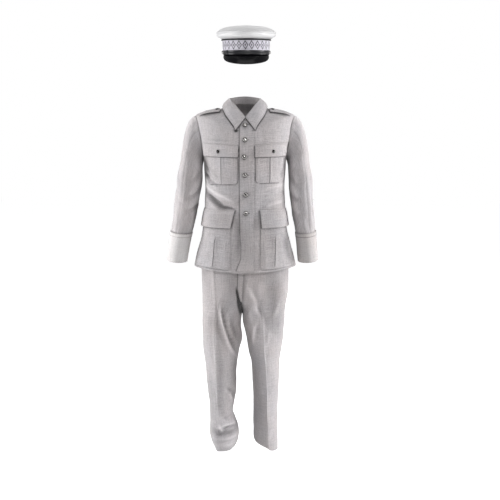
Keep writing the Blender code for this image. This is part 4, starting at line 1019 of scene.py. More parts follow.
def buildSleeve(side):
    # top and under sleeve are the stretches of the arm's rings between its two seams
    gap = sleeve["seamGap"]
    flip = side == "right"
    for part, low, high, count in (("Top", sleeve["seams"][1] - 360, sleeve["seams"][0], 64),
                                   ("Under", sleeve["seams"][0], sleeve["seams"][1], 50)):
        u = spaced(count, 0.8)
        smooth, points = sleeveGrid(side, low + gap + (high - low - 2 * gap) * u)
        normal = gridNormals(smooth, flip=flip)
        points = points + normal * seamDip(u, 0.19 if part == "Top" else 0.16, 0.001)[None, :, None]
        around = low + (high - low) * u[None]
        level = points[..., 2] + originHeight
        # painted shade on the inner side of the arm and in its crook, and painted light on the forearm
        tint = 0.45 * bell(around - 172, 26)
        tint = tint * soft(-level, -1.46, -1.3) * soft(level, 1.02, 1.16)
        inside = bell(around - 168, 24)
        middle, reach, strength = sleeve["crook"][side]
        tint = tint + strength * inside * bell(level - middle, reach)
        tint = tint - sleeve["forearmLight"][side] * (1 - inside) * soft(-level, -1.22, -1.12)
        made = shell("sleeve" + part + side.capitalize(), points, tunic["wall"], "tunicCloth", flip=flip,
                     tint=tint)
        declare(made, smooth, ["sleeve_" + part.lower() + "_" + side])
    # cuff: a deep band turned up over the sleeve's end, its upper edge stitched twice
    rows = np.concatenate([np.linspace(0, 0.05, 5), np.linspace(0.06, 0.18, 13),
                           np.linspace(0.21, 0.94, 20), np.linspace(0.96, 1, 4)])
    height, angle = gridOf(sleeve["cuffTop"] + (sleeve["cuffBottom"] - sleeve["cuffTop"]) * rows,
                           np.arange(84) * 360 / 84)
    flare = sleeve["cuffOut"] + sleeve["cuffFlare"] * soft(height, 1.0, sleeve["cuffBottom"])
    wave = 0.001 * np.sin(np.radians(angle * 2 + 40)) * soft(height, 1.02, 0.93)
    wave = wave + ripple(np.radians(angle) * 0.05, height, sleeve["cuffSeed"][side], 0.0006)
    smooth = sleeveRing(side, height, angle, flare)
    cuff = sleeveRing(side, height, angle, flare + 0.0004 + wave)
    # a painted dark line along the lower row of stitches, painted shade of its sunken seam; on top, painted
    # shade over the whole left cuff and painted light over the whole right one
    line = 0.5 * bell(sleeve["cuffTop"] - 0.0145 - height, 0.0016)
    made = shell("cuff" + side.capitalize(), cuff, tunic["wall"], "cuffCloth", closed=True, flip=flip,
                 paintedEdgeShade=(0.6, 0.3, 0.0, 0.0), tint=line + sleeve["cuffPaintedShade"][side])
    declare(made, smooth, ["cuff_" + side], closed=True)
    around = np.concatenate([cuff, cuff[:, :1]], axis=1)
    for inset in (0.003, 0.015):
        sew(insetRun(around, "first", inset, 0, flip), "darkThread" if inset < 0.01 else "thread")
    sew(insetRun(around, "last", 0.006, 0, flip))


# Collar: where the edge of the fall lies on the body, by the turn of the fold above it

collarEdge = table("fold turn level stand", [
    (90, 71.5, 13.74, 0.0085),
    (75, 64, 15, 0.0075),
    (55, 51, 16.25, 0.0065),
    (30, 30, 17.1, 0.006),
    (0, 0, 17.35, 0.0055),
    (-45, -47, 17, 0.005),
    (-90, -90, 16.7, 0.005),
])

collar = {
    "foldHalf": 0.0685, "foldFront": 0.092, "foldBack": 0.064, "foldSideHeight": 1.601,
    "foldFrontHeight": 1.52, "foldBackHeight": 1.612, "meet": 0.0025, "end": 0.0006, "neckStand": 0.0014,
    "bow": 0.006, "columns": 132,
}


def foldRing(turn):
    # the ring along which the collar turns over
    c, s = circle(turn)
    depth = np.where(s > 0, collar["foldFront"], collar["foldBack"])
    end = np.where(s > 0, collar["foldFrontHeight"], collar["foldBackHeight"])
    share = np.where(s > 0, 1 - abs(c), s * s)
    height = collar["foldSideHeight"] + (end - collar["foldSideHeight"]) * share
    return place(collar["foldHalf"] * c, -depth * s, height)


def fallEdge(turn):
    # the outer edge of the fall lies just off the body, mirrored past the centre back
    rightSide = turn < -90
    own = np.where(rightSide, -180 - turn, turn)
    order = np.argsort(collarEdge["fold"])
    edge = {name: follow(collarEdge["fold"][order], collarEdge[name][order], own) for name in collarEdge}
    bodyTurn = np.where(rightSide, 180 - edge["turn"], edge["turn"])
    return torsoPoint(bodyTurn, edge["level"], edge["stand"])


def buildCollar():
    # the stand rises straight from the neck to the fold; the fall hangs from the fold to its edge
    end = np.degrees(collar["end"] / collar["foldFront"])
    u = spaced(collar["columns"], 0.75)
    turn = 90 - end + (-360 + 2 * end) * u
    neck = torsoSmooth(turn, np.full_like(turn, tunic["neckLevel"]))
    fold = foldRing(turn)
    rise = unit(fold - neck)
    shift = np.array([collar["meet"], 0, 0]) * soft(abs(turn + 90), 90, 180)[:, None]
    neck = neck + rise * (collar["neckStand"] + leftOut(turn, tunic["neckLevel"]))[:, None]
    v = np.linspace(0, 1, 16)[:, None, None]
    stand = neck + (fold - neck) * v + shift
    made = shell("collarStand", stand, tunic["collarWall"], "tunicCloth")
    declare(made, stand, ["collar_stand"])
    # fall: from the edge on the chest up to the roll, over it and a little way down inside
    outward = np.stack([np.cos(np.radians(turn)), -np.sin(np.radians(turn)), np.zeros_like(turn)], -1)
    wall = tunic["collarWall"]
    lip = tunic["layerGap"] + wall + 0.0002
    above = unit(np.cross(outward, np.gradient(fold, axis=0)))
    above = above * np.sign(above[:, 2:])
    top = fold + above * lip - outward * wall
    crown = fold + above * lip + outward * wall / 2
    roll = fold + outward * (lip + wall / 2) - above * wall / 2
    edge = fallEdge(turn)
    v = np.concatenate([np.linspace(0, 0.08, 6)[:-1], np.linspace(0.08, 1, 40)])[:, None, None]
    puff = 0.0009 * soft(v, 0.0, 0.03) * soft(v, 0.16, 0.06)  # fuller outside the row of stitches
    main = edge + (roll - edge) * v + outward * (collar["bow"] * np.sin(math.pi * v) + puff)
    arc = np.linspace(0, math.pi / 2, 6)[1:, None, None]
    bend = roll + (crown - roll) * np.sin(arc) ** 2 + above * 0.0003 * np.sin(2 * arc)
    fall = np.concatenate([main, bend, (crown * 0.5 + top * 0.5)[None], top[None]]) + shift
    made = shell("collarFall", fall, wall, "tunicCloth", paintedEdgeShade=(1.0, 0.1, 1.0, 1.0))
    declare(made, fall, ["collar_fall"])
    for edge, trim in (("first", 0.005), ("left", 0.006), ("right", 0.006)):
        sew(insetRun(fall, edge, 0.0055, trim), "darkThread")


# Pockets: arc lengths of the sides from the centre front, height of the bottom and top, how far the pleat
# is shifted inwards and leans; then rows (in the corner, its reach, above it), size of the rounded corners,
# pleat (depth, spread), shade of its groove and of the edges, and where stitches stop short of the corners
# the shade of each groove and of the edges is painted into the cloth's colour
pockets = {
    "breast": {
        "left": {"inner": 0.046, "outer": 0.167, "bottom": 1.249, "flapInner": 0.043, "flapLow": 0.043,
                 "flapOuter": 0.204, "pleatShift": 0, "pleatLean": 0, "groove": 0.85},
        "right": {"inner": 0.03, "outer": 0.17, "bottom": 1.243, "flapInner": 0.028, "flapLow": 0.028,
                  "flapOuter": 0.2, "pleatShift": 0, "pleatLean": 0, "groove": 0.5},
        "top": 1.38, "rows": (14, 0.022, 40), "columns": 26, "corner": (0.018, 0.016), "fullEdge": 0.06,
        "pleat": (0.0017, 0.016), "paintedEdgeShade": (0.75, 0.0, 0.75, 0.4), "trim": (0.012, 0.012),
        "thread": "darkThread",
    },
    "lower": {
        "left": {"inner": 0.068, "outer": 0.246, "bottom": 0.88, "flapInner": 0.064, "flapLow": 0.07,
                 "flapOuter": 0.25, "pleatShift": 0.03, "pleatLean": -0.03, "groove": 0.7},
        "right": {"inner": 0.062, "outer": 0.244, "bottom": 0.88, "flapInner": 0.042, "flapLow": 0.06,
                  "flapOuter": 0.25, "pleatShift": 0.014, "pleatLean": 0.084, "groove": 0.7},
        "top": 1.1, "rows": (8, 0.012, 56), "columns": 30, "corner": (0.01, 0.01), "fullEdge": 0.12,
        "pleat": (0.0026, 0.02), "paintedEdgeShade": (0.4, 0.0, 0.3, 0.22), "trim": (0.006, 0.008),
        "thread": "thread",
    },
}
lowerSag = table("height out", [
    (0.88, 0.003),
    (0.888, 0.004),
    (0.93, 0.005),
    (0.975, 0.0045),
    (1.02, 0.003),
    (1.06, 0.001),
    (1.1, 0),
])

# Flaps: how far each height stands off the body, how full the middle is, the shade of the edges, how far
# in the stitches run and where they stop short of the corners
# the edge shade is painted into the cloth's colour
flaps = {
    "breast": {
        "heights": [1.3575, 1.373, 1.388, 1.398, 1.4075], "rises": [0.0066, 0.0062, 0.0056, 0.0036, 0.0021],
        "puff": 0.0006, "paintedEdgeShade": (1.0, 0.25, 0.9, 0.6), "sewnIn": 0.005, "trim": 0.005,
        "rows": 24, "columns": 64,
    },
    "lower": {
        "heights": [1.056, 1.075, 1.095, 1.111, 1.122, 1.133],
        "rises": [0.013, 0.0116, 0.0096, 0.0078, 0.0046, 0.0022],
        "puff": 0.0007, "paintedEdgeShade": (0.6, 0.25, 1.0, 0.4), "sewnIn": 0.0055, "trim": 0.006,
        "rows": 34, "columns": 70,
    },
}


def patchGrid(side, heights, arcs, out):
    # a piece laid on the body: rows of one height, points at arc lengths from the centre front
    turns = np.empty_like(arcs)
    levels = np.empty_like(arcs)
    for k, height in enumerate(heights):
        levels[k] = levelAt(height, 60.0)
        turns[k] = arcTurn(levels[k, 0], arcs[k])
    shown = turns if side == "left" else 180 - turns
    return torsoSmooth(shown, levels), torsoPoint(shown, levels, out)


def overlapLift(side, arc):
    # the left front's rise, where it lies over the right one
    return tunic["frontRise"] * (1 - soft(arc, 0.06, 0.105)) if side == "left" else np.zeros_like(arc)


def pleat(arc, middle, depth, spread):
    # two folded edges meet at a narrow groove and slope away to both sides
    away = abs(arc - middle)
    return depth * (soft(away, spread, 0.0016) - 1.15 * bell(away, 0.0012))


def middleSpaced(count, tight=0.75):
    # parameters from 0 to 1, closer together at both ends and in the middle
    half = spaced(count, tight) / 2
    return np.concatenate([half, 0.5 + half[1:]])


def laidRows(low, count, reach, above, top):
    # heights from the lowest up, closer together over the first stretch
    return np.concatenate([low + np.linspace(0, reach, count)[:-1], np.linspace(low + reach, top, above)])


def buildFlap(kind, side):
    # rows up the body from the free edge to the seam, each from the slanting inner edge to the outer one
    flap, size = flaps[kind], pockets[kind][side]
    flip = side == "right"
    low, seam = flap["heights"][0], flap["heights"][-1]
    heights = laidRows(low, 5, 0.004, flap["rows"], seam)
    v = spaced(flap["columns"])
    share = ((heights - low) / (seam - low))[:, None]
    start = size["flapLow"] + (size["flapInner"] - size["flapLow"]) * share
    arcs = start + (size["flapOuter"] - start) * v
    rise = follow(np.array(flap["heights"]), np.array(flap["rises"]), heights)[:, None]
    puff = flap["puff"] * soft(v, 0, 0.02) * soft(1 - v, 0, 0.02) * soft(heights, low, low + 0.003)[:, None]
    smooth, points = patchGrid(side, heights, arcs, overlapLift(side, arcs) + rise + puff)
    # the flap carries the tunic's painted shade and light
    made = shell(kind + "Flap" + side.capitalize(), points, tunic["pocketWall"], "tunicCloth", flip=flip,
                 paintedEdgeShade=flap["paintedEdgeShade"], tint=paintedShadeFrom(tunicShades, points))
    declare(made, smooth, [kind + "_flap_" + side])
    for edge in ("left", "right", "first"):
        sew(insetRun(points, edge, flap["sewnIn"], flap["trim"], flip))
    sew(insetRun(points, "last", 0.004, 0.002, flip))


def buildPocket(kind, side):
    # rows up the body, each between the two sides; the lower corners are rounded as quarter circles, and
    # the cloth stands off the body by its fulness and by the folded edges of the pleat
    pocket, size = pockets[kind], pockets[kind][side]
    flip = side == "right"
    bottom = size["bottom"]
    heights = laidRows(bottom, *pocket["rows"], pocket["top"])
    across, up = pocket["corner"]
    drop = np.clip((bottom + up - heights) / up, 0, 1)
    inset = across * (1 - np.sqrt(1 - drop ** 2))[:, None]
    width = size["outer"] - size["inner"]
    lean = size["pleatShift"] + size["pleatLean"] * (heights - bottom)
    middle = size["inner"] + (width / 2 - lean)[:, None]
    part = (middle - size["inner"]) / width
    v = middleSpaced(pocket["columns"])
    v = np.where(v < 0.5, 2 * v * part, part + (2 * v - 1) * (1 - part))
    arcs = size["inner"] + inset + (width - 2 * inset) * v
    middle = size["inner"] + inset + (width - 2 * inset) * part
    if kind == "breast":
        full = 0.0012 * soft(heights, 1.25, 1.27)
        folded = soft(heights, bottom, bottom + 0.02)
        groove = np.full_like(heights, size["groove"])
    else:  # a bellows pocket hangs fuller low down, and its pleat is sewn flat under the flap
        full = follow(lowerSag["height"], lowerSag["out"], heights)
        folded = soft(heights, bottom, bottom + 0.016) * soft(-heights, -1.035, -0.995)
        groove = size["groove"] * folded
    edge = pocket["fullEdge"]
    out = overlapLift(side, arcs) + 0.0008 + tunic["pocketWall"]
    out = out + full[:, None] * soft(v, 0, edge) * soft(1 - v, 0, edge)
    out = out + pleat(arcs, middle, *pocket["pleat"]) * folded[:, None]
    smooth, points = patchGrid(side, heights, arcs, out)
    # painted shade in the groove of the pleat, on top of the tunic's painted shade and light
    line = groove[:, None] * bell(arcs - middle, 0.0013)
    made = shell(kind + "Pocket" + side.capitalize(), points, tunic["pocketWall"], "tunicCloth", flip=flip,
                 paintedEdgeShade=pocket["paintedEdgeShade"], tint=paintedShadeFrom(tunicShades, points) + line)
    declare(made, smooth, [kind + "_pocket_" + side])
    sides, foot = pocket["trim"]
    for edge in ("left", "right"):
        sew(insetRun(points, edge, 0.002, sides, flip))
    sew(insetRun(points, "first", 0.002, foot, flip), pocket["thread"])
    buildFlap(kind, side)


# Epaulettes: rows from the armhole seam in to the point

epauletteRows = table("reach half y point stand", [
    (0.2105, 0.027, -0.028, 0, -0.0004),
    (0.188, 0.0264, -0.03, 0, 0.0028),
    (0.164, 0.0258, -0.032, 0, 0.0055),
    (0.14, 0.0252, -0.033, 0, 0.0055),
    (0.12, 0.0245, -0.034, 0.001, 0.0055),
    (0.109, 0.0225, -0.036, 0.006, 0.005),
])
epaulette = {"seam": 0.0025, "buttonX": 0.1185, "buttonY": -0.033, "columns": 34}


def shoulderTop(x, y):
    # height of the shoulder above a place seen from above
    levels = np.linspace(14, tunic["neckLevel"], 81)
    turn = np.degrees(np.arctan2(-y, abs(x))).reshape(-1)
    reach = np.hypot(x, y).reshape(-1)
    walk = torsoSmooth(turn[:, None], levels[None])
    radius = np.linalg.norm(walk[..., :2], axis=-1)
    found = [np.interp(reach[k], radius[k, ::-1], walk[k, ::-1, 2]) for k in range(len(turn))]
    return np.array(found).reshape(np.shape(x)) + originHeight


def buildEpaulette(side):
    # rows from the seam to the point, each laid over the shoulder at its own stand
    seam = armholeLoop("left", np.linspace(-70, 70, 57))[0]
    v = (spaced(epaulette["columns"], 0.8) * 2 - 1)[None]
    knots = np.arange(6.0)
    at = np.concatenate([np.linspace(0, 4.6, 46)[:-1], np.linspace(4.6, 5, 9)])
    row = {name: follow(knots, epauletteRows[name], at)[:, None] for name in epauletteRows}
    x = row["reach"] + row["point"] * (abs(v) - 1)
    y = row["y"] - row["half"] * v
    ends = np.interp(-y[0], -seam[:, 1], seam[:, 0]) - epaulette["seam"]
    x = x + (ends - x[0]) * soft(at, 1.0, 0.0)[:, None]
    sign = 1 if side == "left" else -1
    puff = 0.0005 * soft(1 - abs(v), 0, 0.1) * soft(5 - at, 0, 0.12)[:, None]
    points = place(sign * x, y, shoulderTop(x, y) + row["stand"] + 0.0003 + puff)
    flip = side == "left"
    made = shell("epaulette" + side.capitalize(), points, tunic["collarWall"], "tunicCloth", flip=flip,
                 paintedEdgeShade=(0.3, 1.0, 0.6, 1.0))
    declare(made, points, ["epaulette_" + side])
    for edge in ("left", "right", "last"):
        sew(insetRun(points, edge, 0.005, 0.005, flip), "darkThread")


# Buttons: the worked hole beside each front button, and the dark buttons of the breast flaps
buttons = {
    "steps": 48, "holeShift": 0.0095, "holeHalf": 0.0078, "holeRise": 0.001, "thread": 0.00055,
    "breastX": {"left": 0.1175, "right": 0.11}, "breastHeight": 1.379, "breastStand": 0.0062,
}


def lathe(name, profile, spot, up, look, steps=buttons["steps"]):
    # a profile of (radius, height) carried round an axis; where the radius is nought the ring is a point
    profile = np.asarray(profile, float)
    up = unit(np.asarray(up, float))
    side = unit(np.cross((0, 0, 1) if abs(up[2]) < 0.9 else (1, 0, 0), up))
    other = np.cross(up, side)
    angle = np.arange(steps) * fullCircle / steps
    ring = np.cos(angle)[:, None] * side + np.sin(angle)[:, None] * other
    inner = profile[1:-1]
    body = np.asarray(spot) + inner[:, None, :1] * ring[None] + inner[:, None, 1:] * up
    ends = [spot + up * profile[0, 1]], [spot + up * profile[-1, 1]]
    vertices = np.concatenate([ends[0], body.reshape(-1, 3), ends[1]])
    rows = len(inner)
    k = np.arange(steps)
    n = (k + 1) % steps
    faces = [[0, 1 + b, 1 + a] for a, b in zip(k, n)]
    faces += (gridFaces(rows, steps, True) + 1).tolist()
    last = 1 + (rows - 1) * steps
    faces += [[last + a, last + b, last + steps] for a, b in zip(k, n)]
    return newObject(name, vertices, faces, look)


def domed(radius, rise):
    # a flat back, a rolled rim, a narrow groove and a dome
    rim = [(0, 0), (radius * 0.9, 0), (radius, 0.0004), (radius * 1.01, 0.0009), (radius * 0.99, 0.0014),
           (radius * 0.93, 0.0017), (radius * 0.88, 0.0015)]
    dome = [(radius * 0.86 * math.cos(a) ** 0.9, 0.0013 + (rise - 0.0013) * math.sin(a))
            for a in np.linspace(0.18, 1, 12) * math.pi / 2]
    dome[-1] = (0, rise)
    return rim + dome


def holed(radius, rise):
    # a dished button with a raised rim
    return [(0, 0), (radius * 0.85, 0), (radius * 0.98, 0.0008), (radius, 0.0016),
            (radius * 0.96, rise * 0.62), (radius * 0.86, rise * 0.7), (radius * 0.72, rise * 0.66),
            (radius * 0.6, rise * 0.8), (radius * 0.35, rise * 0.95), (0, rise)]


def buildButtons():
    # each button is turned about the body's normal at its spot and stands on the layers under it
    stack = tunic["frontRise"] + tunic["layerGap"] + tunic["bandWall"] + tunic["layerGap"]
    for k in range(len(buttonRows["x"])):
        level = levelAt(buttonRows["height"][k])
        turn = turnAtX(buttonRows["x"][k], level)
        normal = torsoNormal(turn, level)
        spot = torsoSmooth(turn, level) + normal * stack
        profile = domed(buttonRows["radius"][k], buttonRows["rise"][k])
        made = lathe(f"frontButton{k + 1}", profile, spot, normal, "silver")
        # the back, the rolled rim and the groove take the dark metal, painted shade
        made.data.materials.append(looks["silverRimPaintedShade"])
        dark = buttons["steps"] * 7  # the back, the rolled rim and the groove
        made.data.polygons.foreach_set("material_index",
                                       [1 if i < dark else 0 for i in range(len(made.data.polygons))])
        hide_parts(f"front_button_{k + 1}")
        # a worked hole shows beside each button below the collar, towards the wearer's left
        t = (np.arange(36) + 0.5) * fullCircle / 36
        x = buttonRows["x"][k] + buttons["holeShift"] + buttons["holeHalf"] * np.cos(t)
        edge = np.sin(t)
        levels = levelAt(buttonRows["height"][k] + buttons["holeRise"] * np.sign(edge) * abs(edge) ** 0.5)
        turns = turnAtX(x, levels)
        path = torsoSmooth(turns, levels) + torsoNormal(turns, levels) * (stack + 0.0002)
        made = tube(f"buttonhole{k + 1}", path, buttons["thread"], "darkThread", sides=6)
    for side in ("left", "right"):
        level = levelAt(buttons["breastHeight"], 60.0)
        turn = arcTurn(level, arcAtX(level, buttons["breastX"][side]))
        shown = turn if side == "left" else 180 - turn
        normal = torsoNormal(shown, level)
        spot = torsoSmooth(shown, level) + normal * buttons["breastStand"]
        made = lathe("breastButton" + side.capitalize(), holed(0.0078, 0.0042), spot, normal, "horn")
        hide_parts("breast_button_" + side)
        sign = 1 if side == "left" else -1
        x, y, step = epaulette["buttonX"], epaulette["buttonY"], 0.006
        z = shoulderTop(x + step * np.array([0, 1, -1, 0, 0]), y + step * np.array([0, 0, 0, 1, -1]))
        rise = unit(np.array([sign * (z[2] - z[1]) / (2 * step), (z[4] - z[3]) / (2 * step), 1.0]))
        spot = place(sign * x, y, z[0] + epauletteRows["stand"][4]) + rise * 0.0009
        made = lathe("epauletteButton" + side.capitalize(), holed(0.0075, 0.004), spot, rise, "horn")
        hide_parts("epaulette_button_" + side)


# Trousers: rings of the hips, then rings of each leg

pelvis = table("height half front back middle", [
    (1.022, 0.179, 0.1255, 0.1125, 0),
    (0.97, 0.185, 0.1255, 0.12, -0.002),
    (0.92, 0.19, 0.125, 0.129, -0.004),
    (0.87, 0.194, 0.123, 0.135, -0.006),
    (0.82, 0.1945, 0.119, 0.134, -0.009),
    (0.77, 0.1935, 0.113, 0.127, -0.012),
    (0.72, 0.192, 0.107, 0.118, -0.014),
    (0.655, 0.191, 0.102, 0.11, -0.014),
])

legRows = {}
legRows["right"] = table("height x y half front back turn crease lift pitch", [
    (0.77, -0.1, -0.006, 0.093, 0.108, 0.118, 0, 1.05, 0, 0),
    (0.655, -0.103, -0.008, 0.089, 0.104, 0.108, 0, 1.1, 0, 0),
    (0.62, -0.106, -0.01, 0.087, 0.101, 0.103, 0, 1.15, 0, 0),
    (0.58, -0.107, -0.014, 0.085, 0.098, 0.098, 0, 1.2, 0, 0),
    (0.54, -0.1055, -0.02, 0.085, 0.095, 0.094, 0, 1.25, 0, 0),
    (0.49, -0.1075, -0.028, 0.08, 0.093, 0.09, 0, 1.35, 0, 0),
    (0.45, -0.1075, -0.036, 0.0735, 0.091, 0.088, 0, 1.4, 0, 0),
    (0.4, -0.1075, -0.046, 0.0685, 0.09, 0.086, 0, 1.45, 0, 0),
    (0.357, -0.1055, -0.054, 0.0665, 0.089, 0.085, 0, 1.45, 0, 0),
    (0.312, -0.104, -0.062, 0.0635, 0.088, 0.084, 0, 1.45, 0, 0),
    (0.267, -0.1045, -0.07, 0.056, 0.087, 0.084, 0, 1.45, 0, 0),
    (0.221, -0.107, -0.076, 0.052, 0.088, 0.085, 0, 1.35, 0, 0),
    (0.19, -0.101, -0.08, 0.057, 0.09, 0.087, 0, 1.25, 0, 0),
    (0.155, -0.0955, -0.083, 0.0635, 0.093, 0.088, 0, 1.2, 0, 0),
    (0.125, -0.093, -0.086, 0.0665, 0.095, 0.089, 0, 1.15, 0, 0),
    (0.1, -0.092, -0.088, 0.062, 0.092, 0.09, 0, 1.2, 0, 0),
    (0.075, -0.091, -0.09, 0.052, 0.079, 0.092, 0, 1.15, 0, 0.004),
    (0.048, -0.095, -0.092, 0.0385, 0.064, 0.094, 0, 1.1, 0.004, 0.01),
])
legRows["left"] = table("height x y half front back turn crease lift pitch", [
    (0.77, 0.08, -0.006, 0.096, 0.108, 0.118, 0, 1.05, 0, 0),
    (0.655, 0.083, -0.006, 0.095, 0.104, 0.108, 0, 1.1, 0, 0),
    (0.62, 0.0835, -0.007, 0.0935, 0.101, 0.103, 0, 1.15, 0, 0),
    (0.58, 0.086, -0.008, 0.087, 0.098, 0.098, 0, 1.2, 0, 0),
    (0.535, 0.089, -0.01, 0.081, 0.095, 0.094, 0, 1.25, 0, 0),
    (0.485, 0.089, -0.012, 0.0735, 0.093, 0.09, 1, 1.35, 0, 0),
    (0.44, 0.0915, -0.015, 0.0645, 0.091, 0.088, 2, 1.4, 0, 0),
    (0.392, 0.0935, -0.018, 0.062, 0.09, 0.086, 3, 1.45, 0, 0),
    (0.346, 0.0935, -0.021, 0.06, 0.089, 0.085, 4, 1.5, 0, 0),
    (0.3, 0.094, -0.024, 0.0575, 0.088, 0.084, 5, 1.5, 0, 0),
    (0.252, 0.0925, -0.027, 0.055, 0.087, 0.084, 6, 1.5, 0, 0),
    (0.205, 0.092, -0.03, 0.0545, 0.087, 0.084, 7, 1.5, 0, 0),
    (0.157, 0.092, -0.033, 0.0545, 0.088, 0.085, 8, 1.5, 0, 0),
    (0.11, 0.092, -0.036, 0.0545, 0.089, 0.086, 9, 1.5, 0.004, 0),
    (0.08, 0.093, -0.038, 0.0545, 0.09, 0.086, 10, 1.5, 0.01, 0),
    (0.055, 0.094, -0.04, 0.054, 0.09, 0.086, 10, 1.5, 0.024, 0.002),
    (0.034, 0.095, -0.042, 0.053, 0.09, 0.086, 10, 1.5, 0.036, 0.005),
])

# Broad folds by leg: angle 0 at the outer seam, 90 at the front crease, 180 at the inner seam, less behind
trouserFolds = {}
trouserFolds["right"] = table("angle height spanAngle spanHeight rise slant", [
    (125, 0.585, 16, 0.07, 0.0055, -0.0008),
    (100, 0.575, 12, 0.08, -0.0035, -0.0008),
    (172, 0.56, 22, 0.038, 0.009, 0),
    (110, 0.112, 55, 0.013, -0.006, 0),
    (100, 0.148, 60, 0.016, 0.004, 0),
    (-100, 0.13, 60, 0.018, -0.006, 0),
    (-95, 0.43, 55, 0.03, -0.005, 0.0003),
    (-110, 0.7, 45, 0.022, -0.0045, 0.0006),
])
trouserFolds["left"] = table("angle height spanAngle spanHeight rise slant", [
    (125, 0.69, 14, 0.06, 0.0045, -0.0015),
    (105, 0.66, 10, 0.06, -0.0035, -0.0015),
    (60, 0.59, 22, 0.022, -0.004, 0.0008),
    (-95, 0.44, 55, 0.028, -0.005, -0.0003),
    (-110, 0.69, 45, 0.024, -0.0045, -0.0006),
    (-95, 0.12, 60, 0.02, -0.005, 0),
])

# Creases of the legs seen from in front and from behind
legCreases = {}
legCreases["right", "front"] = creaseTable([
    (-115, 725, -44, 482, 5, -16.5, 6.2),
    (-103, 705, -33, 480, 8.5, -15.5, -5.8),
    (-128, 700, -62, 480, 10, -16.5, -2),
    (-64, 660, -26, 550, 10, -6, -3),
    (-150, 720, -126, 640, 11, 4, 1.4),
    (-78, 350, -46, 268, 8, 5, -5.4),
    (-70, 330, -54, 270, 6, 3, 4),
    (-160, 310, -100, 250, 12, -4, -2.6),
    (-120, 240, -60, 192, 11, 4, -3.4),
    (-156, 152, -22, 152, 10, -7, -6),
    (-150, 182, -30, 178, 8, 5, 4.6),
    (-122, 186, -98, 160, 6.5, 0, 5.2),
    (-96, 176, -40, 170, 6, 4, -4),
    (-140, 124, -50, 122, 9, 3, 2.2),
    (-130, 214, -60, 200, 9, 4, -2.6),
])
legCreases["right", "back"] = creaseTable([
    (-160, 740, -40, 700, 10, 6, -3.6),
    (-155, 690, -50, 655, 11, 4, -3),
    (-150, 460, -60, 430, 10, 6, -4),
    (-150, 430, -70, 405, 9, 4, 3),
    (-145, 400, -75, 380, 9, -4, -2.6),
    (-140, 150, -40, 130, 10, 4, -4),
])
legCreases["left", "front"] = creaseTable([
    (6, 800, 60, 650, 9.5, 8, 2.6),
    (22, 800, 80, 640, 12, 6, -2),
    (52, 636, 36, 530, 8, -5, 2.6),
    (68, 626, 56, 540, 10, -4, -2),
    (108, 608, 80, 512, 8, 4, 1.8),
    (166, 692, 136, 602, 12, 6, -2.2),
    (150, 740, 120, 650, 11, 4, 2.4),
    (30, 735, 90, 640, 8, 4, -2.2),
    (130, 350, 80, 320, 12, 4, -2.2),
    (60, 180, 110, 150, 11, 4, -2),
    (130, 120, 90, 70, 9, 4, -2.2),
])
legCreases["left", "back"] = creaseTable([
    (150, 735, 40, 700, 10, -6, -3.6),
    (150, 690, 60, 660, 11, -4, -2.8),
    (145, 455, 60, 425, 10, -6, -3.8),
    (140, 425, 65, 400, 9, -4, 2.8),
    (140, 130, 60, 110, 10, -4, -3.6),
])

trousers = {
    "wall": 0.0015, "fork": 0.655, "forkFront": 0.745, "forkBack": 0.8, "forkSide": 0.77,
    "hipSquare": 2.25, "creaseShape": 0.88, "waistHeight": 1.022, "waistTop": 1.062, "waistStand": 0.0015,
    "waistWall": 0.0022, "top": 1.0215, "hem": {"right": 0.048, "left": 0.034}, "seamTurn": 0.18,
    "ripple": 0.001, "seed": {"left": 41, "right": 43}, "creaseGain": 1.8, "creaseWiden": 1.3,
    "pressRise": 0.004, "pressWidth": 5.0, "pressShift": {"right": 0.34, "left": -0.06},
    "pressLean": {"right": 20.0, "left": 4.0}, "pressLeanBack": -26.0,
    "pressFrom": {"right": 1.0, "left": 0.76}, "pressFull": {"right": 0.84, "left": 0.56},
    "flyTop": 0.985, "flyBottom": 0.73,
}


def hipRadius(hip, c, s, front):
    # a squarish oval: both shares of the way out, raised to its power, sum to one
    depth = np.where(front, hip["front"], hip["back"])
    power = trousers["hipSquare"]
    return ((abs(c) / hip["half"]) ** power + (abs(s) / depth) ** power) ** (-1 / power)


# Painted shade and light on the fronts of the legs: painted shade where the cloth turns away, painted
# highlight on a fold's edge, and painted shadow where both legs meet below the fly
forkShades = [  # the dark wedge below the fly, where both legs meet
    (-37, 795, -18, 690, 4.8, -1, 1.6),
    (-29, 740, -14, 655, 6.6, -1, 2.2),
]
legShades = {}
legShades["right"] = shadeTable([
    (-112, 730, -42, 478, 3.6, -16.5, -0.55),
    (-88, 725, -26, 500, 19, -12, 0.36),
    (-60, 930, -50, 700, 28, 0, 0.26),
    (-52, 480, -50, 240, 17, 4, 0.3),
    (-100, 470, -95, 230, 40, 0, 0.12),
    (-110, 540, -107, 220, 11, 0, 0.2),
    (-141, 600, -132, 220, 8, 0, -0.18),
    (-160, 164, -24, 160, 23, -6, 0.4),
    (-46, 240, -30, 150, 16, 6, 0.22),
    (-118, 196, -100, 166, 5, 0, -0.4),
    (-148, 100, -40, 96, 14, 0, -0.22),
    (-145, 420, -140, 190, 20, 0, 0.2),
] + forkShades)
legShades["left"] = shadeTable([
    (56, 560, 58, 80, 20, 0, 0.14),
    (6, 810, 62, 640, 8, 8, -0.26),
    (30, 800, 86, 640, 12, 6, 0.12),
    (54, 640, 38, 530, 5.6, -5, -0.28),
    (120, 900, 140, 560, 36, 0, 0.42),
    (70, 860, 86, 600, 20, 0, -0.1),
] + forkShades)


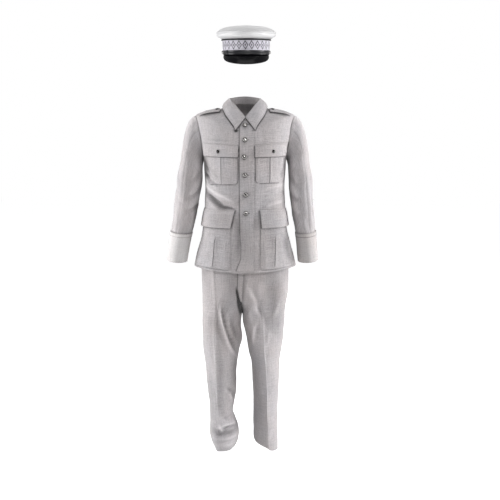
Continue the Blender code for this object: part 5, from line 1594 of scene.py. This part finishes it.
def trouserSmooth(side, angle, height):
    # above the fork a quarter of the hip ring, below it a ring of the leg with a pressed crease in front
    # and behind, blended where the rise curves in
    sign = 1 if side == "left" else -1
    front = angle >= 0
    facing = np.where(front, 1, -1)
    wide = abs(angle)
    leg = along(legRows[side], "height", height)
    hip = along(pelvis, "height", height)
    c, s = circle(wide)
    xLeg = leg["half"] * np.sign(c) * abs(c) ** leg["crease"]
    yLeg = -facing * np.where(front, leg["front"], leg["back"]) * abs(s) ** trousers["creaseShape"]
    xLeg = xLeg + np.where(front, trousers["pressShift"][side] * leg["half"] * s ** 3, 0)
    swing = np.radians(leg["turn"])
    xFoot = leg["x"] + sign * (xLeg * np.cos(swing)) - yLeg * np.sin(swing) * sign
    yFoot = leg["y"] + yLeg * np.cos(swing) + xLeg * np.sin(swing)
    cq, sq = circle(wide / 2)
    radius = hipRadius(hip, cq, sq, front)
    xHip = hip["middle"] * sq ** 2 + sign * radius * cq
    yHip = -facing * radius * sq
    start = trousers["forkFront"] * front + trousers["forkBack"] * (1 - front)
    high = trousers["forkSide"] + (start - trousers["forkSide"]) * wide / 180
    t = np.clip((high - height) / (high - trousers["fork"]), 0, 1)
    share = t * t * (3 - 2 * t)
    x = xHip + (xFoot - xHip) * share
    y = yHip + (yFoot - yHip) * share
    folds = trouserFolds[side]
    bump = np.zeros_like(x)
    for k in range(len(folds["angle"])):
        away = (facing * wide - folds["angle"][k] + 180) % 360 - 180
        up = height - folds["height"][k] - away * folds["slant"][k]
        fall = (away / folds["spanAngle"][k]) ** 2 + (up / folds["spanHeight"][k]) ** 2
        bump = bump + folds["rise"][k] * np.exp(-fall)
    outX = sign * (c * share + cq * (1 - share))
    outY = -facing * (s * share + sq * (1 - share))
    girth = np.radians(wide) * 0.08
    gain = trousers["creaseGain"]
    pressTurn = 90 - np.where(front, trousers["pressLean"][side], trousers["pressLeanBack"]) * (1 - share)
    pressTop = np.where(front, soft(height, trousers["pressFrom"][side], trousers["pressFull"][side]),
                        soft(height, 1.0, 0.84))
    press = trousers["pressRise"] * bell(wide - pressTurn, trousers["pressWidth"])
    fade = soft(s + 1 - share, 0.1, 0.5)
    widen = trousers["creaseWiden"]
    bump = (bump + gain * creases(x, height, legCreases[side, "front"], widen) * front * fade
            + gain * creases(x, height, legCreases[side, "back"], widen) * (1 - front) * fade
            + press * soft(height, 0.1, 0.24) * pressTop
            + ripple(facing * girth, height, trousers["seed"][side], trousers["ripple"]) * soft(s, 0, 0.3))
    bump = bump * soft(wide, 0, 12)
    x = x + outX * bump
    y = y + outY * bump - facing * 2 * tunic["seamGap"]
    centre = hip["middle"] + sign * tunic["seamGap"]
    seam = np.where(wide >= 179.9, centre, sign * np.maximum(sign * x, sign * centre))
    x = np.where(height > trousers["fork"], seam, x)
    return place(x, y, height + leg["lift"] * (1 - c) / 2 + leg["pitch"] * s * facing)


def buildLeg(side):
    # rings from the waist down to the hem; front and back each run from the outer to the inner seam
    for part, sign, rows in (("Front", 1, 160), ("Back", -1, 112)):
        heights = np.concatenate([np.linspace(trousers["top"], 0.8, 52)[:-1],
                                  np.linspace(0.8, 0.62, 62)[:-1],
                                  np.linspace(0.62, trousers["hem"][side], rows)])
        u = np.concatenate([spaced(38, 0.8) / 2, 0.5 + spaced(38, 0.8)[1:] / 2])
        height, angle = gridOf(heights, u * 180)
        angle = np.clip(angle, trousers["seamTurn"], 180 - trousers["seamTurn"])
        angle = np.where((height > trousers["fork"]) & (angle > 179), 180.0, angle)
        points = trouserSmooth(side, sign * angle, height)
        flip = (side == "left") != (part == "Front")
        normal = gridNormals(points, flip=flip)
        points = points + normal * seamDip(u, 0.25, 0.0009, 0.003)[None, :, None]
        # painted shadow between the legs below the fly, darkest on the right leg's front; the fronts also
        # carry the legs' painted shade and light
        fork = soft(angle, 158, 177) * soft(height, 0.67, 0.73) * soft(-height, -0.92, -0.8)
        tint = fork * (0.75 if (side, part) == ("right", "Front") else 0.35)
        if part == "Front":
            tint = tint + paintedShadeFrom(legShades[side], points)
        made = shell("trouser" + part + side.capitalize(), points, trousers["wall"], "trouserCloth",
                     flip=flip, tint=tint)
        declare(made, points, ["trouser_" + part.lower() + "_" + side])


def buildWaist():
    # the band rises straight from the hip ring to just inside the tunic
    turn = np.linspace(90 - trousers["seamTurn"], -270 + trousers["seamTurn"], 121)
    level = np.full_like(turn, levelAt(trousers["waistTop"]))
    inside = tunic["wall"] + trousers["waistStand"]
    high = torsoSmooth(turn, level) - torsoNormal(turn, level) * inside
    c, s = circle(turn)
    hip = along(pelvis, "height", np.full_like(turn, trousers["waistHeight"]))
    radius = hipRadius(hip, c, s, s > 0)
    low = place(radius * c, -radius * s, np.full_like(turn, trousers["waistHeight"]))
    v = np.linspace(0, 1, 9)[:, None, None]
    band = low + (high - low) * v
    made = shell("waistband", band, trousers["waistWall"], "trouserCloth")
    declare(made, band, ["trouser_waistband"])
    # the fly strip runs down from the centre over the right front
    height, across = gridOf(np.linspace(trousers["flyTop"], trousers["flyBottom"], 84), spaced(20, 0.7))
    angle = 179.4 - (3.2 + 17.5 * soft(height, 0.715, 0.775)) * across
    outer = trouserSmooth("right", angle, height)
    step = trouserSmooth("right", angle - 1.0, height) - outer
    rise = trouserSmooth("right", angle, height + 0.004) - outer
    normal = unit(np.cross(step, rise))
    normal = normal * np.sign(-normal[..., 1:2])
    fly = outer + normal * (tunic["layerGap"] + tunic["bandWall"])
    # the fly strip carries the right leg's painted shade and light
    made = shell("flyStrip", fly, tunic["bandWall"], "trouserCloth", paintedEdgeShade=(0.4, 0.4, 0.15, 1.0),
                 tint=paintedShadeFrom(legShades["right"], fly))
    declare(made, fly, ["trouser_fly"])
    sew(insetRun(fly, "right", 0.0035, 0.002))


# Cap: heights above the band's lower edge

cap = {
    "middle": (0.006, -0.01, 1.797), "tip": math.radians(5.0), "wall": 0.0018, "ribbonOut": 0.0015,
    "ribbonWall": 0.0008, "pipingRadius": 0.0026, "pipingOut": 0.0036, "pipingHeight": 0.0467,
    "peakSpread": 68, "peakRoot": -0.0128, "peakOut": 0.0022, "peakReach": 0.036, "peakDrop": 0.041,
    "strapSpread": 84, "strapOut": 0.0022, "strapClear": 0.0062, "keeperTurn": 141, "keeperOut": 0.002,
    "band": (-0.016, 0.0478), "ribbon": (0.0045, 0.0455), "side": (0.0482, 0.0765),
    "roof": (0.077, 0.1035), "arcDrop": 0.019, "braidPitch": 0.0265, "braidMiddle": 0.0205,
    "braidTall": 0.04, "ribPitch": 0.0012,
    "columns": 144,
}
capRings = table("height half front back", [
    (-0.016, 0.0965, 0.116, 0.116),
    (0, 0.0975, 0.117, 0.117),
    (0.048, 0.0995, 0.1185, 0.1185),
    (0.054, 0.111, 0.1295, 0.1275),
    (0.061, 0.122, 0.1405, 0.138),
    (0.067, 0.1255, 0.144, 0.141),
    (0.0765, 0.124, 0.1425, 0.1395),
])
capRoof = table("height half front back", [
    (0.077, 0.1238, 0.1423, 0.1393),
    (0.084, 0.1175, 0.136, 0.133),
    (0.0905, 0.1075, 0.1255, 0.1225),
    (0.098, 0.087, 0.103, 0.1),
    (0.1035, 0.045, 0.054, 0.052),
])


def capPoint(angle, rows, height, out=0.0):
    # angle 90 in front; ovals tipped forward about the band's lower edge
    row = along(rows, "height", height)
    c, s = circle(angle)
    depth = np.where(s > 0, row["front"], row["back"])
    x = (row["half"] + out) * c
    y = -(depth + out) * s
    z = height + np.zeros_like(x)
    turnedY = y * math.cos(cap["tip"]) - z * math.sin(cap["tip"])
    turnedZ = z * math.cos(cap["tip"]) + y * math.sin(cap["tip"])
    return place(cap["middle"][0] + x, cap["middle"][1] + turnedY, cap["middle"][2] + turnedZ)


def strapPoint(angle, height, out=0.0):
    # on the band, and clear of it along its lower edge in front, where the peak is
    clear = soft(-abs(angle - 90), -cap["strapSpread"], -60) * soft(-height, -0.006, 0.012)
    return capPoint(angle, capRings, height, cap["strapOut"] + out + cap["strapClear"] * clear)


def braidMaterial():
    # woven braid: fine ribs across, and a row of plain lozenges; every lozenge is the place where the
    # distance along plus the distance across from its middle is small
    made, tree, shader = baseMaterial("silverBraid", (0.49, 0.475, 0.535), 0.45)
    link = tree.links.new
    fill(shader, Sheen_Weight=0.2)
    uv = node(tree, "ShaderNodeUVMap", uv_map="cut")
    parts = node(tree, "ShaderNodeSeparateXYZ")
    link(uv.outputs[0], parts.inputs[0])
    spots = calc(tree, "DIVIDE", calc(tree, "ADD", parts.outputs[0], 8.0), cap["braidPitch"])
    alongShare = calc(tree, "ABSOLUTE", calc(tree, "SUBTRACT", calc(tree, "FRACT", spots), 0.5))
    offMiddle = calc(tree, "SUBTRACT", parts.outputs[1], cap["braidMiddle"])
    acrossShare = calc(tree, "ABSOLUTE", calc(tree, "DIVIDE", offMiddle, cap["braidTall"]))
    reach = calc(tree, "ADD", alongShare, acrossShare)
    ring = calc(tree, "MULTIPLY", calc(tree, "LESS_THAN", reach, 0.47),
                calc(tree, "GREATER_THAN", reach, 0.31))
    mark = calc(tree, "ADD", ring, calc(tree, "LESS_THAN", reach, 0.14))
    ribs = calc(tree, "SINE", calc(tree, "MULTIPLY", parts.outputs[0], fullCircle / cap["ribPitch"]))
    noise = node(tree, "ShaderNodeTexNoise", Scale=700.0, Detail=3.0, Roughness=0.7)
    link(uv.outputs[0], noise.inputs["Vector"])
    share = calc(tree, "ADD", calc(tree, "MULTIPLY", mark, 0.75),
                 calc(tree, "MULTIPLY", noise.outputs["Fac"], 0.3))
    clamp = node(tree, "ShaderNodeClamp")
    link(share, clamp.inputs[0])
    colour = mixColour(tree, clamp.outputs[0], (0.62, 0.6, 0.67, 1), (0.035, 0.03, 0.045, 1))
    link(colour, shader.inputs["Base Color"])
    raised = node(tree, "ShaderNodeBump", Strength=0.5, Distance=0.0003)
    link(calc(tree, "SUBTRACT", ribs, mark), raised.inputs["Height"])
    link(raised.outputs["Normal"], shader.inputs["Normal"])
    return made


looks["silverBraid"] = braidMaterial()


def sections(path, ahead, radius, sides):
    # a circle round each point of a path, square to the way ahead
    side = unit(np.cross(ahead, np.broadcast_to([0, 0, 1.0], ahead.shape)))
    over = np.cross(side, ahead)
    angle = np.arange(sides) * fullCircle / sides
    ring = np.cos(angle)[None, :, None] * side[:, None] + np.sin(angle)[None, :, None] * over[:, None]
    return path[:, None] + radius * ring


def tube(name, path, radius, look, sides=12):
    # a round section carried along a closed path
    points = sections(path, unit(np.roll(path, -1, axis=0) - np.roll(path, 1, axis=0)), radius, sides)
    n = len(path)
    i, j = gridOf(np.arange(n), np.arange(sides))
    faces = np.stack([i * sides + j, (i + 1) % n * sides + j, (i + 1) % n * sides + (j + 1) % sides,
                      i * sides + (j + 1) % sides], -1).reshape(-1, 4)
    return newObject(name, points, faces, look)


def openTube(name, path, radius, look, sides=8):
    # a round section carried along an open path and drawn to a point at both ends
    points = sections(path, unit(np.gradient(path, axis=0)), radius, sides).reshape(-1, 3)
    n = len(path)
    i, j = gridOf(np.arange(n - 1), np.arange(sides))
    faces = np.stack([i * sides + j, (i + 1) * sides + j, (i + 1) * sides + (j + 1) % sides,
                      i * sides + (j + 1) % sides], -1).reshape(-1, 4).tolist()
    faces += [[j, (j + 1) % sides, n * sides] for j in range(sides)]
    faces += [[(n - 1) * sides + (j + 1) % sides, (n - 1) * sides + j, n * sides + 1] for j in range(sides)]
    return newObject(name, np.concatenate([points, path[:1], path[-1:]]), faces, look)


def roofShell(name, points, wall):
    # a closed ring grid whose last row closes to a point on both faces
    rows, columns = points.shape[:2]
    normal = gridNormals(points, True)
    inner = points + normal * wall
    count = rows * columns
    middleOuter = points[-1].mean(axis=0) + np.array([0, 0, 0.00002])
    middleInner = middleOuter - np.array([0, 0, wall])
    proud = (points[0] + inner[0]) / 2 + unit(points[0] - points[1]) * wall * 0.4
    outer = gridFaces(rows, columns, True)
    faces = outer[:, ::-1].tolist() + (outer + count).tolist()
    k = np.arange(columns)
    n = (k + 1) % columns
    last = (rows - 1) * columns
    top = 2 * count + columns
    faces += [[last + b, last + a, top] for a, b in zip(k, n)]
    faces += [[count + last + a, count + last + b, top + 1] for a, b in zip(k, n)]
    faces += [[a, b, 2 * count + b, 2 * count + a] for a, b in zip(k, n)]
    faces += [[2 * count + a, 2 * count + b, count + b, count + a] for a, b in zip(k, n)]
    vertices = np.concatenate([points.reshape(-1, 3), inner.reshape(-1, 3), proud,
                               [middleOuter], [middleInner]])
    made = newObject(name, vertices, faces, "crownCloth")
    layer = made.data.uv_layers.new(name="cut")
    corner = np.empty(len(made.data.loops), dtype=int)
    made.data.loops.foreach_get("vertex_index", corner)
    layer.data.foreach_set("uv", vertices[corner][:, :2].reshape(-1))
    # soft painted shade on the slope just inside the rim, fading with the distance from it, and on the rim
    # itself
    away = np.linalg.norm(points - points[:1], axis=2)
    shade = 0.3 * bell(away, 0.022).reshape(-1)
    own = np.concatenate([shade, shade, np.full(columns, 0.3), [0, 0]])
    made.data.attributes.new("shade", "FLOAT", "POINT").data.foreach_set("value", own)
    return made


def buildCap():
    # band, braid, side and roof are closed rings; peak, strap and keeper are patches laid off them
    around = np.arange(cap["columns"]) * 360 / cap["columns"]
    height, angle = gridOf(np.linspace(*cap["band"], 24), around)
    band = capPoint(angle, capRings, height)
    made = shell("capBand", band, cap["wall"], "bandCloth", closed=True, flip=True)
    declare(made, band, ["cap_band"], closed=True)
    height, angle = gridOf(np.linspace(*cap["ribbon"], 22), around)
    ribbon = capPoint(angle, capRings, height, cap["ribbonOut"] + 0.0001)
    made = shell("capBraid", ribbon, cap["ribbonWall"], "silverBraid", closed=True, flip=True)
    declare(made, ribbon, ["cap_ribbon"], closed=True)
    # side wall: bulges out to the rim, drawn in by slight tucks where it is sewn to the band
    height, angle = gridOf(np.linspace(*cap["side"], 30), around)
    tuck = 0.0009 * np.sin(np.radians(angle * 5 + 20)) + 0.0006 * np.sin(np.radians(angle * 13 + 70))
    rim = cap["side"][1]
    wave = tuck * soft(height, 0.05, 0.058) * soft(rim - height, 0, 0.006)
    side = capPoint(angle, capRings, height, wave)
    # painted shade in the seam over the band, and above an arc that drops 19 mm from the front to the
    # sides, with faint painted light elsewhere
    arc = rim - cap["arcDrop"] * np.clip(side[..., 0] / 0.125, -1, 1) ** 2
    tint = 0.34 * soft(-height, -0.06, -0.05) + 0.26 * soft(height - arc, -0.002, 0.004) - 0.04
    made = shell("capSide", side, cap["wall"], "crownCloth", closed=True, flip=True, tint=tint)
    declare(made, side, ["cap_side"], closed=True)
    # roof: rings closing in to a nearly flat middle, its outer edge turned over the rim seam
    inward = 1 - (1 - np.linspace(0, 1, 34)) ** 1.2
    low, high = cap["roof"]
    height, angle = gridOf(low + (high - low) * inward, around)
    puff = 0.0008 * bell(height - 0.0785, 0.0016)
    roof = capPoint(angle, capRoof, height, puff)
    last = roof[-1]
    centre = last.mean(axis=0) + np.array([0, 0, 0.0022])
    inner = [centre + (last - centre) * k + np.array([0, 0, 0.0008 * (1 - k * k)])
             for k in (0.75, 0.5, 0.28, 0.1)]
    roof = np.concatenate([roof, np.array(inner)])
    made = roofShell("capRoof", roof, cap["wall"])
    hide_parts("cap_roof")
    seam = capPoint(around, capRings, np.full_like(around, 0.0768), 0.001)
    made = tube("capRimWelt", seam, 0.0011, "crownCloth")
    made.data.uv_layers.new(name="cut")
    upright = {name: np.full(2, capRings[name][2]) for name in capRings}  # the ring at the band's top
    upright["height"] = np.array([0.03, 0.07])
    path = capPoint(around, upright, np.full_like(around, cap["pipingHeight"]), cap["pipingOut"])
    made = tube("capPiping", path, cap["pipingRadius"], "piping")
    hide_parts("cap_piping")
    # peak: a stiff crescent springing from under the front of the band and sloping steeply down
    spread = (spaced(96, 0.7) * 2 - 1) * cap["peakSpread"] + 90
    reach = np.linspace(0, 1, 26)
    angle, share = gridOf(spread, reach)
    width = np.cos(np.radians((angle - 90) * 90 / (cap["peakSpread"] + 2))) ** 0.55
    root = capPoint(angle, capRings, np.full_like(angle, cap["peakRoot"]), cap["peakOut"])
    flare = cap["peakReach"] * width * share
    drop = cap["peakDrop"] * width * share
    c, s = circle(angle)
    peak = root + np.stack([c * flare * 0.55, -s * flare, -drop * (0.88 + 0.12 * share)], -1)
    made = shell("capPeak", peak, 0.0022, "patent", flip=True)
    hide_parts("cap_peak")
    # a raised binding along the peak's free edge
    rim = insetRun(peak, "right", 0.0022, 0.004, True)
    made = openTube("peakBinding", rim[:, :3] + rim[:, 3:] * 0.0002, 0.0011, "patent")
    # chin strap with two raised edges, its keeper and side buttons
    spread = cap["strapSpread"]
    height, angle = gridOf(np.linspace(-0.0115, 0.0035, 13), np.linspace(-spread, spread, 120) + 90)
    rib = 0.0006 * soft(abs(height + 0.004), 0.004, 0.0058)
    strap = strapPoint(angle, height, rib)
    made = shell("chinStrap", strap, 0.0014, "strapPatent", flip=True)
    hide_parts("cap_strap")
    height, angle = gridOf(np.linspace(-0.0119, 0.0044, 9), np.linspace(-3.2, 3.2, 9) + cap["keeperTurn"])
    keeper = strapPoint(angle, height, cap["keeperOut"] + 0.0004)
    made = shell("strapKeeper", keeper, 0.0012, "strapPatent", flip=True)
    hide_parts("cap_keeper")
    for side, turn in (("left", 3.0), ("right", 177.0)):
        spot, ahead = capPoint(turn, capRings, np.full(2, -0.003), 0.0028 + np.array([0, 0.01]))
        made = lathe("capButton" + side.capitalize(), domed(0.0068, 0.0042), spot, ahead - spot, "silver",
                     36)
        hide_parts("cap_button_" + side)


# Floor, light and camera

stage = {
    "lens": 51.624, "camera": (0.022, -3.15, -0.081), "pitch": 9.5, "floor": -originHeight - 0.002,
    "roomDim": 0.06, "roomBright": 0.36, "topPower": 24.0, "sidePower": 80.0, "frontPower": 41.0,
    "floorGlow": 0.76,
}


def areaLight(name, spot, target, size, power):
    # a rectangle of light whose back points away from its target
    light = bpy.data.lights.new(name, "AREA")
    light.shape = "RECTANGLE"
    light.size, light.size_y = size
    light.energy = power
    made = bpy.data.objects.new(name, light)
    bpy.context.scene.collection.objects.link(made)
    spot = np.array(spot, float)
    back = unit(spot - np.array(target, float))
    side = unit(np.cross((0, 0, 1), back))
    turned = np.eye(4)
    turned[:3, 0] = side
    turned[:3, 1] = np.cross(back, side)
    turned[:3, 2] = back
    turned[:3, 3] = spot
    made.matrix_world = Matrix(turned.tolist())


def buildStage():
    # floor, room, four lights and the camera
    mesh = bpy.data.meshes.new("floor")
    r = 12.0
    z = stage["floor"]
    mesh.from_pydata([(-r, -r, z), (r, -r, z), (r, r, z), (-r, r, z)], [], [(0, 1, 2, 3)])
    floor = bpy.data.objects.new("floor", mesh)
    bpy.context.scene.collection.objects.link(floor)
    made, tree, shader = baseMaterial("paleFloor", (0.8, 0.8, 0.8), 0.9)
    fill(shader, Specular_IOR_Level=0.1, Emission_Color=(1, 1, 1, 1))
    path = node(tree, "ShaderNodeLightPath")
    glow = calc(tree, "MULTIPLY", path.outputs["Is Camera Ray"], stage["floorGlow"])
    tree.links.new(glow, shader.inputs["Emission Strength"])
    mesh.materials.append(made)
    # the room is bright behind, above and to the right, and dim low in front on the left, which the metal
    # and the gloss reflect; the camera itself sees plain white
    world = bpy.data.worlds.new("studio")
    world.use_nodes = True
    tree = world.node_tree
    link = tree.links.new
    back = tree.nodes["Background"]
    where = node(tree, "ShaderNodeTexCoord")
    towards = node(tree, "ShaderNodeVectorMath", operation="DOT_PRODUCT")
    towards.inputs[1].default_value = (0.35, 0.72, 0.6)
    link(where.outputs["Generated"], towards.inputs[0])
    level = node(tree, "ShaderNodeMapRange")
    for k, value in enumerate((-0.45, 0.5, stage["roomDim"], stage["roomBright"])):
        level.inputs[k + 1].default_value = value
    link(towards.outputs["Value"], level.inputs[0])
    link(level.outputs[0], back.inputs[1])
    back.inputs[0].default_value = (1, 1, 1, 1)
    white = node(tree, "ShaderNodeBackground", Color=(1, 1, 1, 1), Strength=1.0)
    path = node(tree, "ShaderNodeLightPath")
    mixed = node(tree, "ShaderNodeMixShader")
    link(path.outputs["Is Camera Ray"], mixed.inputs[0])
    link(back.outputs[0], mixed.inputs[1])
    link(white.outputs[0], mixed.inputs[2])
    link(mixed.outputs[0], tree.nodes["World Output"].inputs[0])
    bpy.context.scene.world = world
    areaLight("overheadLight", (0, -0.9, 2.3), (0, 0, -0.4), (2.4, 1.6), stage["topPower"])
    areaLight("leftLight", (-2.6, -0.15, -0.2), (0, 0, -0.7), (1.0, 2.8), stage["sidePower"])
    areaLight("rightLight", (2.6, -0.15, -0.2), (0, 0, -0.7), (1.0, 2.8), stage["sidePower"])
    areaLight("frontLight", (0.5, -3.5, 1.2), (0, 0, -0.7), (1.0, 1.0), stage["frontPower"])
    camera = bpy.data.cameras.new("camera")
    camera.lens = stage["lens"]
    camera.sensor_width = 36.0
    shown = bpy.data.objects.new("camera", camera)
    bpy.context.scene.collection.objects.link(shown)
    shown.location = stage["camera"]
    shown.rotation_euler = (math.radians(90 - stage["pitch"]), 0, 0)
    bpy.context.scene.camera = shown
    bpy.context.scene.view_settings.view_transform = "Standard"


buildTunicBody()
print("tunic body made")
for side in ("left", "right"):
    buildSleeve(side)
    buildPocket("breast", side)
    buildPocket("lower", side)
    buildEpaulette(side)
    buildLeg(side)
buildCollar()
buildButtons()
print("sleeves, collar, pockets and legs made")
buildWaist()
buildCap()
shadeUnderEdges()
for look, runs in stitchRuns.items():
    buildStitches(look + "Stitches", runs, look)
print("cap and stitching made")
buildStage()
print("stage made")
